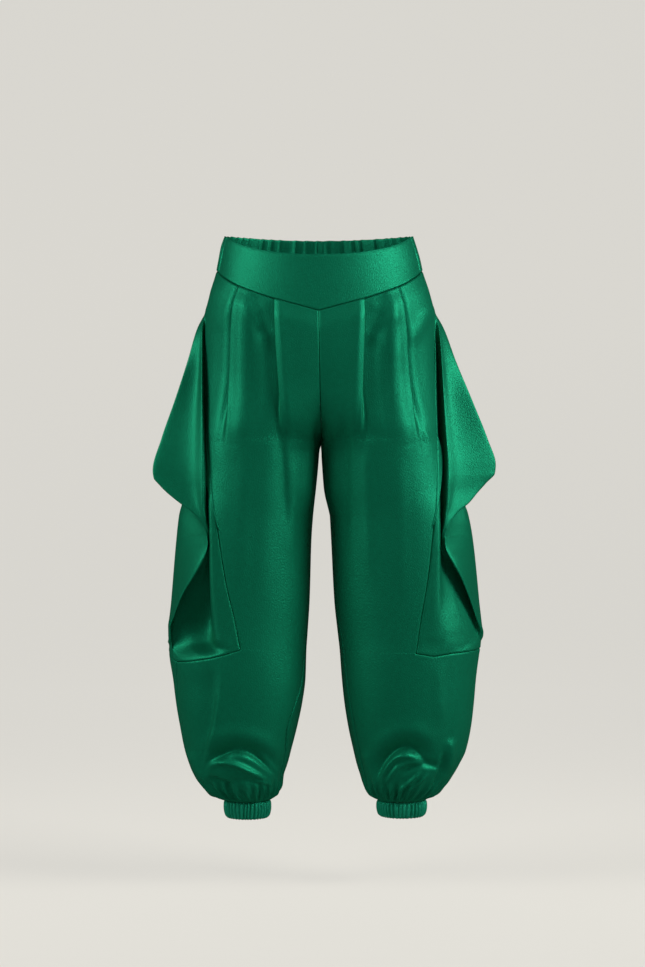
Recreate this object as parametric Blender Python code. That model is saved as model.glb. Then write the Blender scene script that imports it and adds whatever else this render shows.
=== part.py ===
"""Pleated satin trousers with side drapes, worn shape, hollow.

Lengths are in millimetres and become metres when a mesh is made. X runs to the wearer's left, the front
faces -Y and Z is up. The origin is the centre of the waist opening at its side corners, where the
trousers are held. Each half is described outward from the centre: "out" is the distance along X away from
the centre plane, and an angle of 0 is the side, +90 the middle of the front, -90 the middle of the back.
"""

import bpy
import bmesh
from math import acos, cos, degrees, exp, hypot, pi, radians, sin
from mathutils import Vector

MM = 0.001
COLLECTION = "pleated_trousers"

CLOTH = 1.2            # wall of the satin panels
SEAM_GAP = 0.3         # clear space between two sewn edges
RIGHT, LEFT = -1, 1    # the wearer's right lies at -X

BAND_CLOTH = 2.0       # doubled cloth of the yoke
WAIST_SIDE = -55.0     # lower edge of the waistbands at the sides
SIDE_SEAM = 15.0       # degrees forward of the side where yoke, front and drape meet
FRONT_DIP = 38.3       # how far the front rim dips below the side corners
BACK_RISE = 8.0        # how far the back rim stands above them
HIP_LEVEL = -260.0     # below this the rows of the panels run level
CROTCH = -328.0
KNEE = -655.0
LEG_END = -894.3       # gathered lower edge of the legs
CUFF_TOP = -894.6

BACK_GATHERS = 26      # waves of the elastic back band
BACK_WAVE = 1.1
CUFF_RIBS = 40
CUFF_WAVE = 0.9
CUFF_WALL = 2.6
CUFF_BULGE = 1.3
LEG_GATHERS = 24       # waves of each leg above its cuff
LEG_WAVE = 3.0
PLEAT_RISE = 6.5
PLEAT_END = -318.0

# Outline of each half: outer and inner reach on the right and left leg, depth of the front and the back
# from the side line, and how far the half has closed into a leg of its own (0 half a body, 1 a tube).
BODY_COLUMNS = ("z", "outer_right", "inner_right", "outer_left", "inner_left", "front", "back", "closed")
BODY = [
    (10, 146, 0, 148, 0, 102, 107, 0),
    (0, 148.5, 0, 150, 0, 103, 108, 0),
    (-14, 153, 0, 154, 0, 104, 110, 0),
    (-34, 157, 0, 160, 0, 106, 112, 0),
    (-55, 162, 0, 165.5, 0, 108, 115, 0),
    (-90, 172.5, 0, 177, 0, 112, 121, 0),
    (-135, 182, -0.6, 187, 0.6, 116, 128, 0),
    (-200, 186, -1.8, 191, 1.8, 118, 132, 0.12),
    (-250, 189.5, -2.9, 194.5, 2.9, 116, 130, 0.3),
    (-285, 193, -3.7, 198, 3.7, 114, 127, 0.55),
    (-305, 195, -4.2, 200.5, 4.2, 112, 124, 0.78),
    (-318, 196, -4.5, 202, 4.5, 110, 121, 0.93),
    (-328, 197, -4.8, 203.5, 4.8, 109, 119, 1),
    (-371, 204, 1, 214, 10.5, 106, 112, 1),
    (-405, 213, 4.5, 226, 14, 104, 108, 1),
    (-423, 221, 6.5, 236, 16, 103, 106, 1),
    (-480, 226, 11, 245.5, 20, 101, 102, 1),
    (-577, 234, 14, 255.5, 25, 98, 97, 1),
    (-633, 238.5, 17.5, 260.5, 31, 97, 94, 1),
    (-655, 237.5, 19, 257, 33.5, 97, 93, 1),
    (-701, 231, 20.5, 250.5, 37, 95, 91, 1),
    (-739, 226.5, 25.5, 247, 41, 92, 88, 1),
    (-777, 220, 33.5, 242.5, 47, 87, 84, 1),
    (-816, 212, 43.5, 234, 55.5, 79, 77, 1),
    (-835, 206, 48.5, 225, 60, 74, 72, 1),
    (-854, 198, 55, 214, 66, 68, 66, 1),
    (-873, 184, 59.5, 198, 72.5, 59, 58, 1),
    (-886, 170, 65.5, 184, 81, 49, 49, 1),
    (-892, 160, 70, 174.5, 87, 42, 42, 1),
    (-894.3, 148.5, 77.3, 169.5, 95, 35.5, 35.5, 1),
]

# Where the slanted seam between front (or back) and drape lies, measured outward.
SLANT_COLUMNS = ("z", "right", "left")
SLANT = [
    (-55, 156.5, 159.7),
    (-90, 167, 170.5),
    (-135, 176, 180),
    (-196, 178, 183),
    (-260, 177.6, 184.5),
    (-330, 173.5, 185.5),
    (-388, 166, 184),
    (-430, 160.5, 181.3),
    (-478, 153.5, 176.7),
    (-543, 143, 169),
    (-605, 128.5, 158),
    (-655, 120, 151),
]

# Angles of the inseam and, below the knee, of the side seam.
SEAM_COLUMNS = ("z", "inseam_right", "inseam_left", "side_right", "side_left")
SEAMS = [
    (-328, 180, 180, 30, 12),
    (-500, 180, 175, 30, 12),
    (-612, 175, 164, 30, 12),
    (-655, 170, 161, 30, 12),
    (-701, 163, 158, 23, 10),
    (-773, 147, 154, 11, 6),
    (-835, 158, 153, 4, 3),
    (-894.3, 172, 160, 0, 0),
]

# The V seam under the yoke.
YOKE_SEAM_COLUMNS = ("angle", "z")
YOKE_SEAM = [
    (90, -126.7),
    (67.7, -107.6),
    (46, -87.3),
    (15, -55),
    (0, -55),
]

# How far the knee seam dips or rises, at even steps from the slanted seam forward of the leg to the side
# seam, and from there to the slanted seam behind it.
KNEE_FRONT = {RIGHT: (6, -2, -8, -12, -15, -16), LEFT: (0, -5, -1, 0, 1, 2)}
KNEE_BACK = {RIGHT: (-16, -4, 0, 0, 0, 0), LEFT: (2, 1, 0, 0, 0, 0)}

# The fold lines of the pleats, measured outward, inner and outer pleat of each front.
PLEAT_COLUMNS = ("z", "inner_right", "outer_right", "inner_left", "outer_left")
PLEATS = [
    (-80, 66, 118, 69, 118),
    (-140, 65, 129, 69, 129.5),
    (-200, 63, 134.5, 68.5, 136.5),
    (-260, 59.5, 138.5, 68, 143.5),
    (-330, 54, 144, 67, 155),
]
# One fold from the centre side to the side seam: place along the front, share of the rise.
PLEAT_PROFILE = [(-17, 0.42), (-3.2, 1.0), (0, 0.86), (1.4, 0.04), (9, 0)]

# The side drape in plan. Each row gives, outward and in depth: the soft fold that ends its flat strip
# beside the front panel, the groove behind that, the ridge, the outward turn, the inward turn, and the
# depth of the layer behind. Above the middle of the drape the outward turn is the edge of the wing and
# lies in front. Below it the inward turn is the edge of the outer layer and lies in front of the recess.
DRAPE_COLUMNS = ("z", "strip", "strip_y", "groove", "groove_y", "ridge", "ridge_y",
                 "out_turn", "out_turn_y", "in_turn", "in_turn_y", "hip_y")
DRAPE = {
    RIGHT: [
        (-122, 175.5, -27, 178, -22, 180, -14, 180.5, -4, 180, 8, 20),
        (-148, 178, -30, 179.5, -24, 185.5, -28, 192, -18, 187, 7, 26),
        (-196, 179, -35, 178.8, -24, 190, -39, 206.5, -29, 190, 7, 30),
        (-260, 178.8, -43, 178, -28, 195, -48, 226.6, -38, 192.5, 9, 33),
        (-323, 175.6, -63, 175.5, -44, 198, -62, 248, -49, 196, 6, 33),
        (-371, 170.5, -76, 172.5, -56, 203, -74, 261.5, -60, 203, 0, 30),
        (-383, 169.5, -79, 171.5, -58, 204, -76, 260, -62, 205, -4, 28),
        (-394, 169, -82, 171, -60, 204, -78, 251, -65, 206, -9, 24),
        (-405, 168.5, -85, 170.5, -62, 203, -79.5, 239.5, -69, 205, -16, 18),
        (-423, 168, -89, 170, -66, 199, -82, 220, -74, 200, -32, 6),
        (-437, 167.5, -91, 169.5, -68, 190, -84, 202, -78, 190, -46, 0),
        (-452, 167, -92.5, 169, -70, 182, -85.5, 189, -80, 182.5, -57, 0),
        (-462, 166.8, -93, 168.8, -71, 176, -85, 182, -84, 182, -70, 0),
        (-470, 166.6, -94, 168.8, -71, 173.5, -81, 178.5, -85, 183.5, -79, 0),
        (-480, 166.4, -94.5, 168.8, -71, 172, -75, 175, -81, 182, -87, 0),
        (-492, 166, -95, 169.2, -70, 172.5, -66, 177, -70, 176.6, -91, 0),
        (-505, 165.5, -95, 169.5, -68, 174, -60, 183, -58, 177, -91, 0),
        (-524, 165, -95, 170, -68, 178, -57, 194, -50, 187, -83, 0),
        (-568, 163, -94, 171, -72, 191, -58, 215, -34, 212, -62, 0),
        (-600, 160, -93, 170, -76, 197, -58, 224, -30, 225, -46, 0),
        (-616, 158.5, -93, 169.5, -79, 200, -60, 226, -31, 229, -38, 0),
        (-632, 157, -93, 169, -82, 203, -62, 227, -33, 233, -29, 0),
        (-655, 156, -92, 168, -88, 205, -66, 228, -34, 235, -20, 0),
    ],
    LEFT: [
        (-122, 180, -27, 183.5, -22, 185.5, -14, 186, -4, 185, 8, 20),
        (-148, 183, -31, 185, -25.5, 190.5, -28, 199.5, -12, 193, 8, 26),
        (-196, 184.5, -34, 186, -23, 194, -37, 217, -14, 196, 10, 30),
        (-260, 186, -39, 187.5, -26, 197, -45, 242.7, -16, 199, 14, 33),
        (-323, 187, -54, 188.5, -37, 200, -57, 267.5, -19, 205, 15, 33),
        (-362, 187, -66, 189, -48, 202, -68, 279.5, -22, 213, 14, 30),
        (-376, 187, -70, 189, -52, 202, -71, 278, -24, 217, 12, 28),
        (-390, 187, -74, 189, -55, 202, -74, 265, -30, 220, 7, 24),
        (-405, 187, -79, 189, -58, 202, -76, 251, -37, 220, -2, 18),
        (-423, 187, -84, 189.5, -62, 201, -79, 236, -50, 214, -22, 6),
        (-437, 187, -86, 189.5, -65, 199, -81, 219, -64, 206, -40, 0),
        (-452, 187, -88, 190, -67, 197, -83, 206, -77, 201.5, -56, 0),
        (-462, 187, -89, 190, -68, 195.5, -81, 202, -82, 202.5, -68, 0),
        (-470, 187, -89.5, 190, -69, 194, -77, 199, -83, 204.5, -77, 0),
        (-478, 187, -90, 190, -70, 193, -72, 196.5, -79, 204, -84, 0),
        (-490, 187, -91, 190.5, -70, 194, -65, 200, -69, 200, -88, 0),
        (-506, 187, -91, 192, -72, 198, -62, 210, -56, 206, -82, 0),
        (-541, 187, -91, 193, -80, 204, -66, 225, -44, 222.6, -71, 0),
        (-579, 187.5, -91, 194, -84, 214, -66, 239.5, -34, 238.6, -54, 0),
        (-605, 188, -91, 195, -87, 224, -62, 246, -33, 247.5, -42, 0),
        (-625, 188.5, -91, 196, -88, 234, -54, 250.5, -31, 254, -32, 0),
        (-641, 189, -90, 196, -88, 240, -48, 252.5, -28, 257.5, -22, 0),
        (-655, 189, -90, 196, -88, 243, -45, 253, -24, 257, -16, 0),
    ],
}
# Share of the drape's width at each named point, from the front seam to the back seam.
DRAPE_SHARES = (0.0, 0.06, 0.15, 0.27, 0.46, 0.60, 0.74, 0.87, 1.0)
DRAPE_STEPS = (1, 2, 2, 4, 4, 3, 2, 2)     # faces between neighbouring named points
DRAPE_ROUNDING = {                         # how widely the cloth turns at each named point
    RIGHT: (1, 1, 1, 0.9, 1, 1, 1, 1, 1),
    LEFT: (1, 1, 1, 0.45, 1, 1, 1, 1, 1),
}
DRAPE_FREE = (-122.0, -148.0)              # the fold leaves the hip between these heights
DRAPE_HELD = (-628.0, -655.0)              # and sinks into the knee seam between these

# Crescent folds where the full leg bunches over its cuff: three points outward and in height, the front
# or the back of the leg, width and rise.
BUNCH_COLUMNS = ("side", "face", "out_a", "z_a", "out_b", "z_b", "out_c", "z_c", "width", "rise")
BUNCHES = [
    (RIGHT, -1, 182, -832, 146, -818, 74, -864, 11, 5.0),
    (RIGHT, -1, 118, -806, 90, -820, 58, -852, 10, 4.0),
    (RIGHT, 1, 186, -836, 130, -822, 70, -858, 12, 4.5),
    (RIGHT, 1, 160, -800, 110, -806, 64, -832, 11, 3.0),
    (LEFT, -1, 101, -862, 118, -800, 176, -834, 10, 4.5),
    (LEFT, -1, 130, -836, 160, -826, 198, -848, 10, 4.5),
    (LEFT, -1, 190, -806, 206, -794, 222, -812, 12, 4.0),
    (LEFT, 1, 84, -846, 140, -818, 210, -838, 12, 4.5),
    (LEFT, 1, 80, -812, 130, -800, 190, -812, 11, 3.0),
]

# Row heights shared by neighbouring pieces, so that their sewn edges stay parallel.
UPPER_ROWS = [-55, -88, -122, -155, -190, -225, -260, -285, -305, -318, -328, -350, -371,
              -423, -461, -505, -550, -595, -630, -655]
DRAPE_EXTRA_ROWS = [-383, -394, -405, -414, -437, -449, -470, -480, -492, -524, -616]
LOWER_ROWS = [-655, -700, -745, -785, -820]
GATHER_ROWS = [-842, -860, -874, -885, -891, -894.3]
BACK_COLUMNS = 11

SATIN = (0.006, 0.162, 0.082, 1.0)
SATIN_DARK = (0.004, 0.120, 0.060, 1.0)


def smooth(low, high, value):
    """Ease from 0 at low to 1 at high."""
    t = min(1.0, max(0.0, (value - low) / (high - low)))
    return t * t * (3 - 2 * t)


def mix(a, b, t):
    return a + (b - a) * t


def read(table, columns, name, at):
    """Value of a named column at a height or angle, on a smooth curve that never overshoots."""
    c = columns.index(name)
    rows = table
    last = len(rows) - 1
    if at >= rows[0][0]:
        return rows[0][c]
    if at <= rows[last][0]:
        return rows[last][c]
    k = 0
    while at < rows[k + 1][0]:
        k += 1

    def slope(i):
        if i <= 0 or i >= last:
            return 0.0 if i < 0 or i > last else end_slope(i)
        before = (rows[i][c] - rows[i - 1][c]) / (rows[i][0] - rows[i - 1][0])
        after = (rows[i + 1][c] - rows[i][c]) / (rows[i + 1][0] - rows[i][0])
        if before * after <= 0:
            return 0.0
        return 2 * before * after / (before + after)

    def end_slope(i):
        j = 0 if i == 0 else last - 1
        return (rows[j + 1][c] - rows[j][c]) / (rows[j + 1][0] - rows[j][0])

    span = rows[k + 1][0] - rows[k][0]
    t = (at - rows[k][0]) / span
    h00 = (1 + 2 * t) * (1 - t) ** 2
    h10 = t * (1 - t) ** 2
    h01 = t * t * (3 - 2 * t)
    h11 = t * t * (t - 1)
    return (h00 * rows[k][c] + h10 * span * slope(k)
            + h01 * rows[k + 1][c] + h11 * span * slope(k + 1))


def sided(name, side):
    return name + ("_right" if side == RIGHT else "_left")


def section(side, z):
    """Middle, half width, front depth and back depth of one half at a height."""
    outer = read(BODY, BODY_COLUMNS, sided("outer", side), z)
    inner = read(BODY, BODY_COLUMNS, sided("inner", side), z) + SEAM_GAP / 2
    closed = read(BODY, BODY_COLUMNS, "closed", z)
    half = (outer - inner) / (1 + closed)
    front = read(BODY, BODY_COLUMNS, "front", z)
    back = read(BODY, BODY_COLUMNS, "back", z)
    return outer - half, half, front, back


def angle_at(side, out, z):
    """Angle of the point on the front that lies this far outward."""
    middle, half, _, _ = section(side, z)
    return degrees(acos(max(-1.0, min(1.0, (out - middle) / half))))


def centre_angle(side, z):
    """Angle of the centre seam above the crotch."""
    inner = read(BODY, BODY_COLUMNS, sided("inner", side), z) + SEAM_GAP / 2
    return angle_at(side, inner, z)


def slant_angle(side, z):
    name = "right" if side == RIGHT else "left"
    return angle_at(side, read(SLANT, SLANT_COLUMNS, name, z), z)


def inner_angle(side, z):
    """Angle of a panel's inner edge: centre seam above the crotch, inseam below it."""
    gap = degrees(SEAM_GAP / 2 / section(side, z)[1])
    if z >= CROTCH:
        return min(centre_angle(side, z), 180 - gap)
    return read(SEAMS, SEAM_COLUMNS, sided("inseam", side), z) - gap


def back_inner_angle(side, z):
    """The same edge on the back panel, which runs on past the side when the inseam has moved forward."""
    gap = degrees(SEAM_GAP / 2 / section(side, z)[1])
    if z >= CROTCH:
        return max(-centre_angle(side, z), gap - 180)
    return read(SEAMS, SEAM_COLUMNS, sided("inseam", side), z) + gap - 360


def knee_dip(side, angle):
    """Dip of the knee seam at an angle, straight between the steps of its two lists."""
    corner = slant_angle(side, KNEE)
    seam = read(SEAMS, SEAM_COLUMNS, sided("side", side), KNEE)
    if angle < -180:
        angle += 360
    if angle >= corner:
        return KNEE_FRONT[side][0] * smooth(corner + 40, corner, angle)
    if angle <= -corner:
        return 0.0
    if angle >= seam:
        dips = KNEE_FRONT[side]
        place = (corner - angle) / (corner - seam)
    else:
        dips = KNEE_BACK[side]
        place = (seam - angle) / (seam + corner)
    place *= len(dips) - 1
    k = min(int(place), len(dips) - 2)
    return mix(dips[k], dips[k + 1], place - k)


def plain(side, angle, z):
    """Point of the smooth form."""
    middle, half, front, back = section(side, z)
    turn = radians(angle)
    depth = front if sin(turn) > 0 else back
    dip = 0.0
    if abs(z - KNEE) < 120:
        dip = knee_dip(side, angle) * exp(-((z - KNEE) / 45) ** 2)
    return Vector((side * (middle + half * cos(turn)), -depth * sin(turn), z + dip))


def facing(form, side, angle, z):
    """Outward direction of a form at a point."""
    step = 0.6
    along = form(side, angle + step, z) - form(side, angle - step, z)
    down = form(side, angle, z - step) - form(side, angle, z + step)
    return (along.cross(down) * side).normalized()


def bunch_height(side, point):
    """Rise of the crescent folds at a point."""
    height = 0.0
    out = side * point.x
    for fold in BUNCHES:
        row = dict(zip(BUNCH_COLUMNS, fold))
        if row["side"] != side or point.y * row["face"] < 0:
            continue
        if abs(point.z - row["z_b"]) > 90:
            continue
        nearest = 1e9
        place = 0.0
        for k in range(13):
            t = k / 12
            x = mix(mix(row["out_a"], row["out_b"], t), mix(row["out_b"], row["out_c"], t), t)
            z = mix(mix(row["z_a"], row["z_b"], t), mix(row["z_b"], row["z_c"], t), t)
            gap = hypot(out - x, point.z - z)
            if gap < nearest:
                nearest = gap
                place = t
        fade = smooth(0, 0.25, place) * smooth(1, 0.75, place)
        height += row["rise"] * fade * exp(-(nearest / row["width"]) ** 2)
    return height


def skin(side, angle, z):
    """Point of the cloth: the smooth form with the gathers and bunched folds near the cuff."""
    point = plain(side, angle, z)
    if z > -770:
        return point
    strength = smooth(-828, -868, z) * mix(0.45, 1.0, smooth(LEG_END, -882, z))
    turn = radians(angle)
    wave = cos(LEG_GATHERS * turn + 0.9 * sin(3 * turn) + side)
    depth = abs(sin(turn))
    rise = bunch_height(side, point) * smooth(0.05, 0.5, depth) * smooth(LEG_END, -876, z)
    away = facing(plain, side, angle, z)
    away.z *= smooth(LEG_END, -878, z)
    return point + away.normalized() * (LEG_WAVE * strength * wave + rise)


def hang(angle, z):
    """Height of a row: it follows the waistband's lower edge at the top and is level from the hip down."""
    if z <= HIP_LEVEL:
        return z
    if angle >= 0:
        top = read(YOKE_SEAM, YOKE_SEAM_COLUMNS, "z", angle)
    else:
        top = WAIST_SIDE + BACK_RISE * sin(radians(angle)) ** 2
    return top + (z - WAIST_SIDE) * (HIP_LEVEL - top) / (HIP_LEVEL - WAIST_SIDE)


def settle(angle_of, z):
    """Angle and height of a point whose angle depends on its height, and height on its angle."""
    height = z
    for _ in range(4):
        angle = angle_of(height)
        height = hang(angle, z)
    return angle, height


def link(faces, upper, lower):
    """Faces between two rows of vertices; the lower may have a vertex more between each pair."""
    if len(upper) == len(lower):
        for j in range(len(upper) - 1):
            faces.append((upper[j], upper[j + 1], lower[j + 1], lower[j]))
        return
    for j in range(len(upper) - 1):
        faces.append((upper[j], lower[2 * j + 1], lower[2 * j]))
        faces.append((upper[j], upper[j + 1], lower[2 * j + 1]))
        faces.append((upper[j + 1], lower[2 * j + 2], lower[2 * j + 1]))


def add_object(name, mesh, colour):
    mesh.name = name
    piece = bpy.data.objects.new(name, mesh)
    bpy.data.collections[COLLECTION].objects.link(piece)
    material = bpy.data.materials.new(name + "_satin")
    material.use_nodes = True
    shader = material.node_tree.nodes["Principled BSDF"]
    shader.inputs["Base Color"].default_value = colour
    shader.inputs["Roughness"].default_value = 0.36
    shader.inputs["Metallic"].default_value = 0.0
    mesh.materials.append(material)
    mesh.shade_smooth()
    mesh.set_sharp_from_angle(angle=radians(50))
    return piece


def split(points, face):
    """The face as triangles, cut along its shorter diagonal, so that both sides of a wall fold alike."""
    if len(face) == 3:
        return [face]
    a, b, c, d = face
    if (points[a] - points[c]).length <= (points[b] - points[d]).length:
        return [(a, b, c), (a, c, d)]
    return [(a, b, d), (b, c, d)]


def close_wall(name, outer, inner, faces, colour):
    """Closed wall from an outer skin, its inner points and the faces of the skin."""
    shell = bmesh.new()
    outside = [shell.verts.new(p * MM) for p in outer]
    inside = [shell.verts.new(p * MM) for p in inner]
    faces = [half for face in faces for half in split(outer, face)]
    count = {}
    for face in faces:
        shell.faces.new([outside[k] for k in face])
        shell.faces.new([inside[k] for k in reversed(face)])
        for a, b in zip(face, face[1:] + face[:1]):
            count[frozenset((a, b))] = count.get(frozenset((a, b)), 0) + 1
    for face in faces:
        for a, b in zip(face, face[1:] + face[:1]):
            if count[frozenset((a, b))] == 1:
                shell.faces.new((outside[b], outside[a], inside[a], inside[b]))
    bmesh.ops.recalc_face_normals(shell, faces=shell.faces)
    mesh = bpy.data.meshes.new(name)
    shell.to_mesh(mesh)
    shell.free()
    return add_object(name, mesh, colour)


def sew_panel(name, points, faces, edges, thickness, colour):
    """Panel of cloth: the inside is set back along the skin's normals, or those given for sewn edges."""
    skin_mesh = bmesh.new()
    verts = [skin_mesh.verts.new(p) for p in points]
    for face in faces:
        skin_mesh.faces.new([verts[k] for k in face])
    skin_mesh.normal_update()
    facings = [v.normal.copy() for v in verts]
    agree = sum(facings[k].dot(edges[k]) for k in edges)
    if agree < 0:
        facings = [-f for f in facings]
    for k, direction in edges.items():
        facings[k] = direction
    skin_mesh.free()
    inner = [p - f * thickness for p, f in zip(points, facings)]
    return close_wall(name, points, inner, faces, colour)


def pleat_rise(z, top):
    """Rise of a pleat at a height, from its top at the yoke to where it fades."""
    return PLEAT_RISE * smooth(PLEAT_END, mix(PLEAT_END, top, 0.75), z)


def front_columns(side, z):
    """Outward places and pleat shares of the front panel's columns at a height in the pleated part."""
    inner = read(BODY, BODY_COLUMNS, sided("inner", side), z) + SEAM_GAP / 2
    slant = read(SLANT, SLANT_COLUMNS, "right" if side == RIGHT else "left", z)
    first = read(PLEATS, PLEAT_COLUMNS, sided("inner", side), z)
    second = read(PLEATS, PLEAT_COLUMNS, sided("outer", side), z)
    columns = [(inner, 0.0), (mix(inner, first + PLEAT_PROFILE[0][0], 0.5), 0.15)]
    columns += [(first + place, share) for place, share in PLEAT_PROFILE]
    columns.append((mix(first, second, 0.45), 0.12))
    columns += [(second + place, share) for place, share in PLEAT_PROFILE]
    columns.append((mix(second + PLEAT_PROFILE[-1][0], slant, 0.55), 0.0))
    columns.append((slant, 0.0))
    return columns


def front_angle(side, j, count, z):
    """Angle of column j of the front panel above the knee."""
    start = inner_angle(side, z)
    end = slant_angle(side, z) + degrees(SEAM_GAP / 2 / section(side, z)[1])
    pleated_z = max(z, PLEAT_END)
    if j == 0:
        return start
    if j == count - 1:
        return end
    pleated = angle_at(side, front_columns(side, pleated_z)[j][0], pleated_z)
    top_start = centre_angle(side, pleated_z)
    top_end = slant_angle(side, pleated_z)
    share = (pleated - top_start) / (top_end - top_start)
    share = mix(j / (count - 1), share, smooth(-600, -330, z))
    return mix(start, end, share)


def lower_angles(side, z, first, last, upper_count, wrap_count, corner):
    """Angles of a panel's columns below the knee, where it has widened to the side seam."""
    reach = (corner - first(side, KNEE)) / (last(side, KNEE) - first(side, KNEE))
    even = (upper_count - 1) / (upper_count - 1 + wrap_count)
    middle = mix(even, reach, smooth(-790, KNEE, z))
    start = first(side, z)
    end = last(side, z)
    shares = [middle * j / (upper_count - 1) for j in range(upper_count)]
    shares += [mix(middle, 1.0, j / wrap_count) for j in range(1, wrap_count + 1)]
    return [mix(start, end, share) for share in shares]


def side_angle(side, z, way):
    """Angle of the side seam below the knee, half a gap to the front or to the back of it."""
    half = section(side, z)[1]
    return read(SEAMS, SEAM_COLUMNS, sided("side", side), z) + way * degrees(SEAM_GAP / 2 / half)


def doubled(values):
    """The values with their midpoints between them."""
    result = [values[0]]
    for a, b in zip(values, values[1:]):
        result += [(a + b) / 2, b]
    return result


def leg_panel(name, upper_rows, lower_rows, colour):
    """Leg panel from rows of (point, facing or None); the rows below the knee may be wider."""
    points = []
    faces = []
    edges = {}
    previous = None
    for row in upper_rows + lower_rows:
        ids = []
        for point, direction in row:
            if direction is not None:
                edges[len(points)] = direction
            ids.append(len(points))
            points.append(point)
        if previous is not None:
            wide = len(ids) != len(previous) and len(ids) != 2 * len(previous) - 1
            link(faces, previous, ids[:len(previous)] if wide else ids)
        previous = ids
    return sew_panel(name, points, faces, edges, CLOTH, colour)


def leg_rows_below_knee(side, first, last, upper_count, wrap_count, corner):
    """Rows of a panel from the knee seam to the gathered lower edge."""
    rows = []
    for z in LOWER_ROWS + GATHER_ROWS:
        angles = lower_angles(side, z, first, last, upper_count, wrap_count, corner)
        if z in GATHER_ROWS:
            angles = doubled(angles)
        height = z - SEAM_GAP / 2 if z == KNEE else z
        row = []
        for angle in angles:
            row.append((skin(side, angle, height), facing(plain, side, angle, height)))
        rows.append(row)
    return rows


def build_front(side):
    """Front panel with its two pleats, from the yoke to the cuff."""
    count = len(front_columns(side, -100))
    rows = []
    for z in UPPER_ROWS[:-1]:
        row = []
        nominal = z - SEAM_GAP / 2 if z == WAIST_SIDE else z
        for j in range(count):
            angle, height = settle(lambda at: front_angle(side, j, count, at), nominal)
            direction = facing(plain, side, angle, height)
            share = front_columns(side, max(height, PLEAT_END))[j][1]
            top = hang(angle, WAIST_SIDE)
            point = plain(side, angle, height) + direction * share * pleat_rise(height, top)
            sewn = j in (0, count - 1) or z == WAIST_SIDE
            row.append((point, direction if sewn else None))
        rows.append(row)
    corner = front_angle(side, count - 1, count, KNEE)
    lower = leg_rows_below_knee(side, inner_angle, lambda s, at: side_angle(s, at, 1),
                                count, len(KNEE_FRONT[side]) - 1, corner)
    leg_panel(sided("front", side), rows, lower, SATIN)


def build_back(side):
    """Back panel, from the back band to the cuff."""
    rows = []

    def edge_angle(s, at):
        return -slant_angle(s, at) - degrees(SEAM_GAP / 2 / section(s, at)[1])

    def back_angle(at, share):
        return mix(back_inner_angle(side, at), edge_angle(side, at), share)

    for z in UPPER_ROWS[:-1]:
        row = []
        nominal = z - SEAM_GAP / 2 if z == WAIST_SIDE else z
        for j in range(BACK_COLUMNS):
            share = j / (BACK_COLUMNS - 1)
            angle, height = settle(lambda at: back_angle(at, share), nominal)
            direction = facing(plain, side, angle, height)
            sewn = j in (0, BACK_COLUMNS - 1) or z == WAIST_SIDE
            row.append((plain(side, angle, height), direction if sewn else None))
        rows.append(row)
    lower = leg_rows_below_knee(side, back_inner_angle, lambda s, at: side_angle(s, at, -1),
                                BACK_COLUMNS, len(KNEE_BACK[side]) - 1, edge_angle(side, KNEE))
    leg_panel(sided("back", side), rows, lower, SATIN)


def heading(points, k):
    """Direction of a smooth curve at one of its points, where the shorter of the two chords counts more."""
    if k == 0:
        return (points[1] - points[0]).normalized()
    if k == len(points) - 1:
        return (points[k] - points[k - 1]).normalized()
    before = points[k] - points[k - 1]
    after = points[k + 1] - points[k]
    near, far = before.length, after.length
    return (before * (far / near) + after * (near / far)) / (near + far)


def curve_through(points, steps, rounding):
    """Smooth curve through the points; a small rounding turns it sharply at its point, 1 turns it widely."""
    result = [points[0]]
    for k, count in enumerate(steps):
        a, b = points[k], points[k + 1]
        chord = (b - a).length
        leave = heading(points, k) * chord * rounding[k]
        arrive = heading(points, k + 1) * chord * rounding[k + 1]
        for step in range(1, count + 1):
            t = step / count
            h00 = (1 + 2 * t) * (1 - t) ** 2
            h10 = t * (1 - t) ** 2
            h01 = t * t * (3 - 2 * t)
            h11 = t * t * (t - 1)
            result.append(a * h00 + leave * h10 + b * h01 + arrive * h11)
    return result


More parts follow.
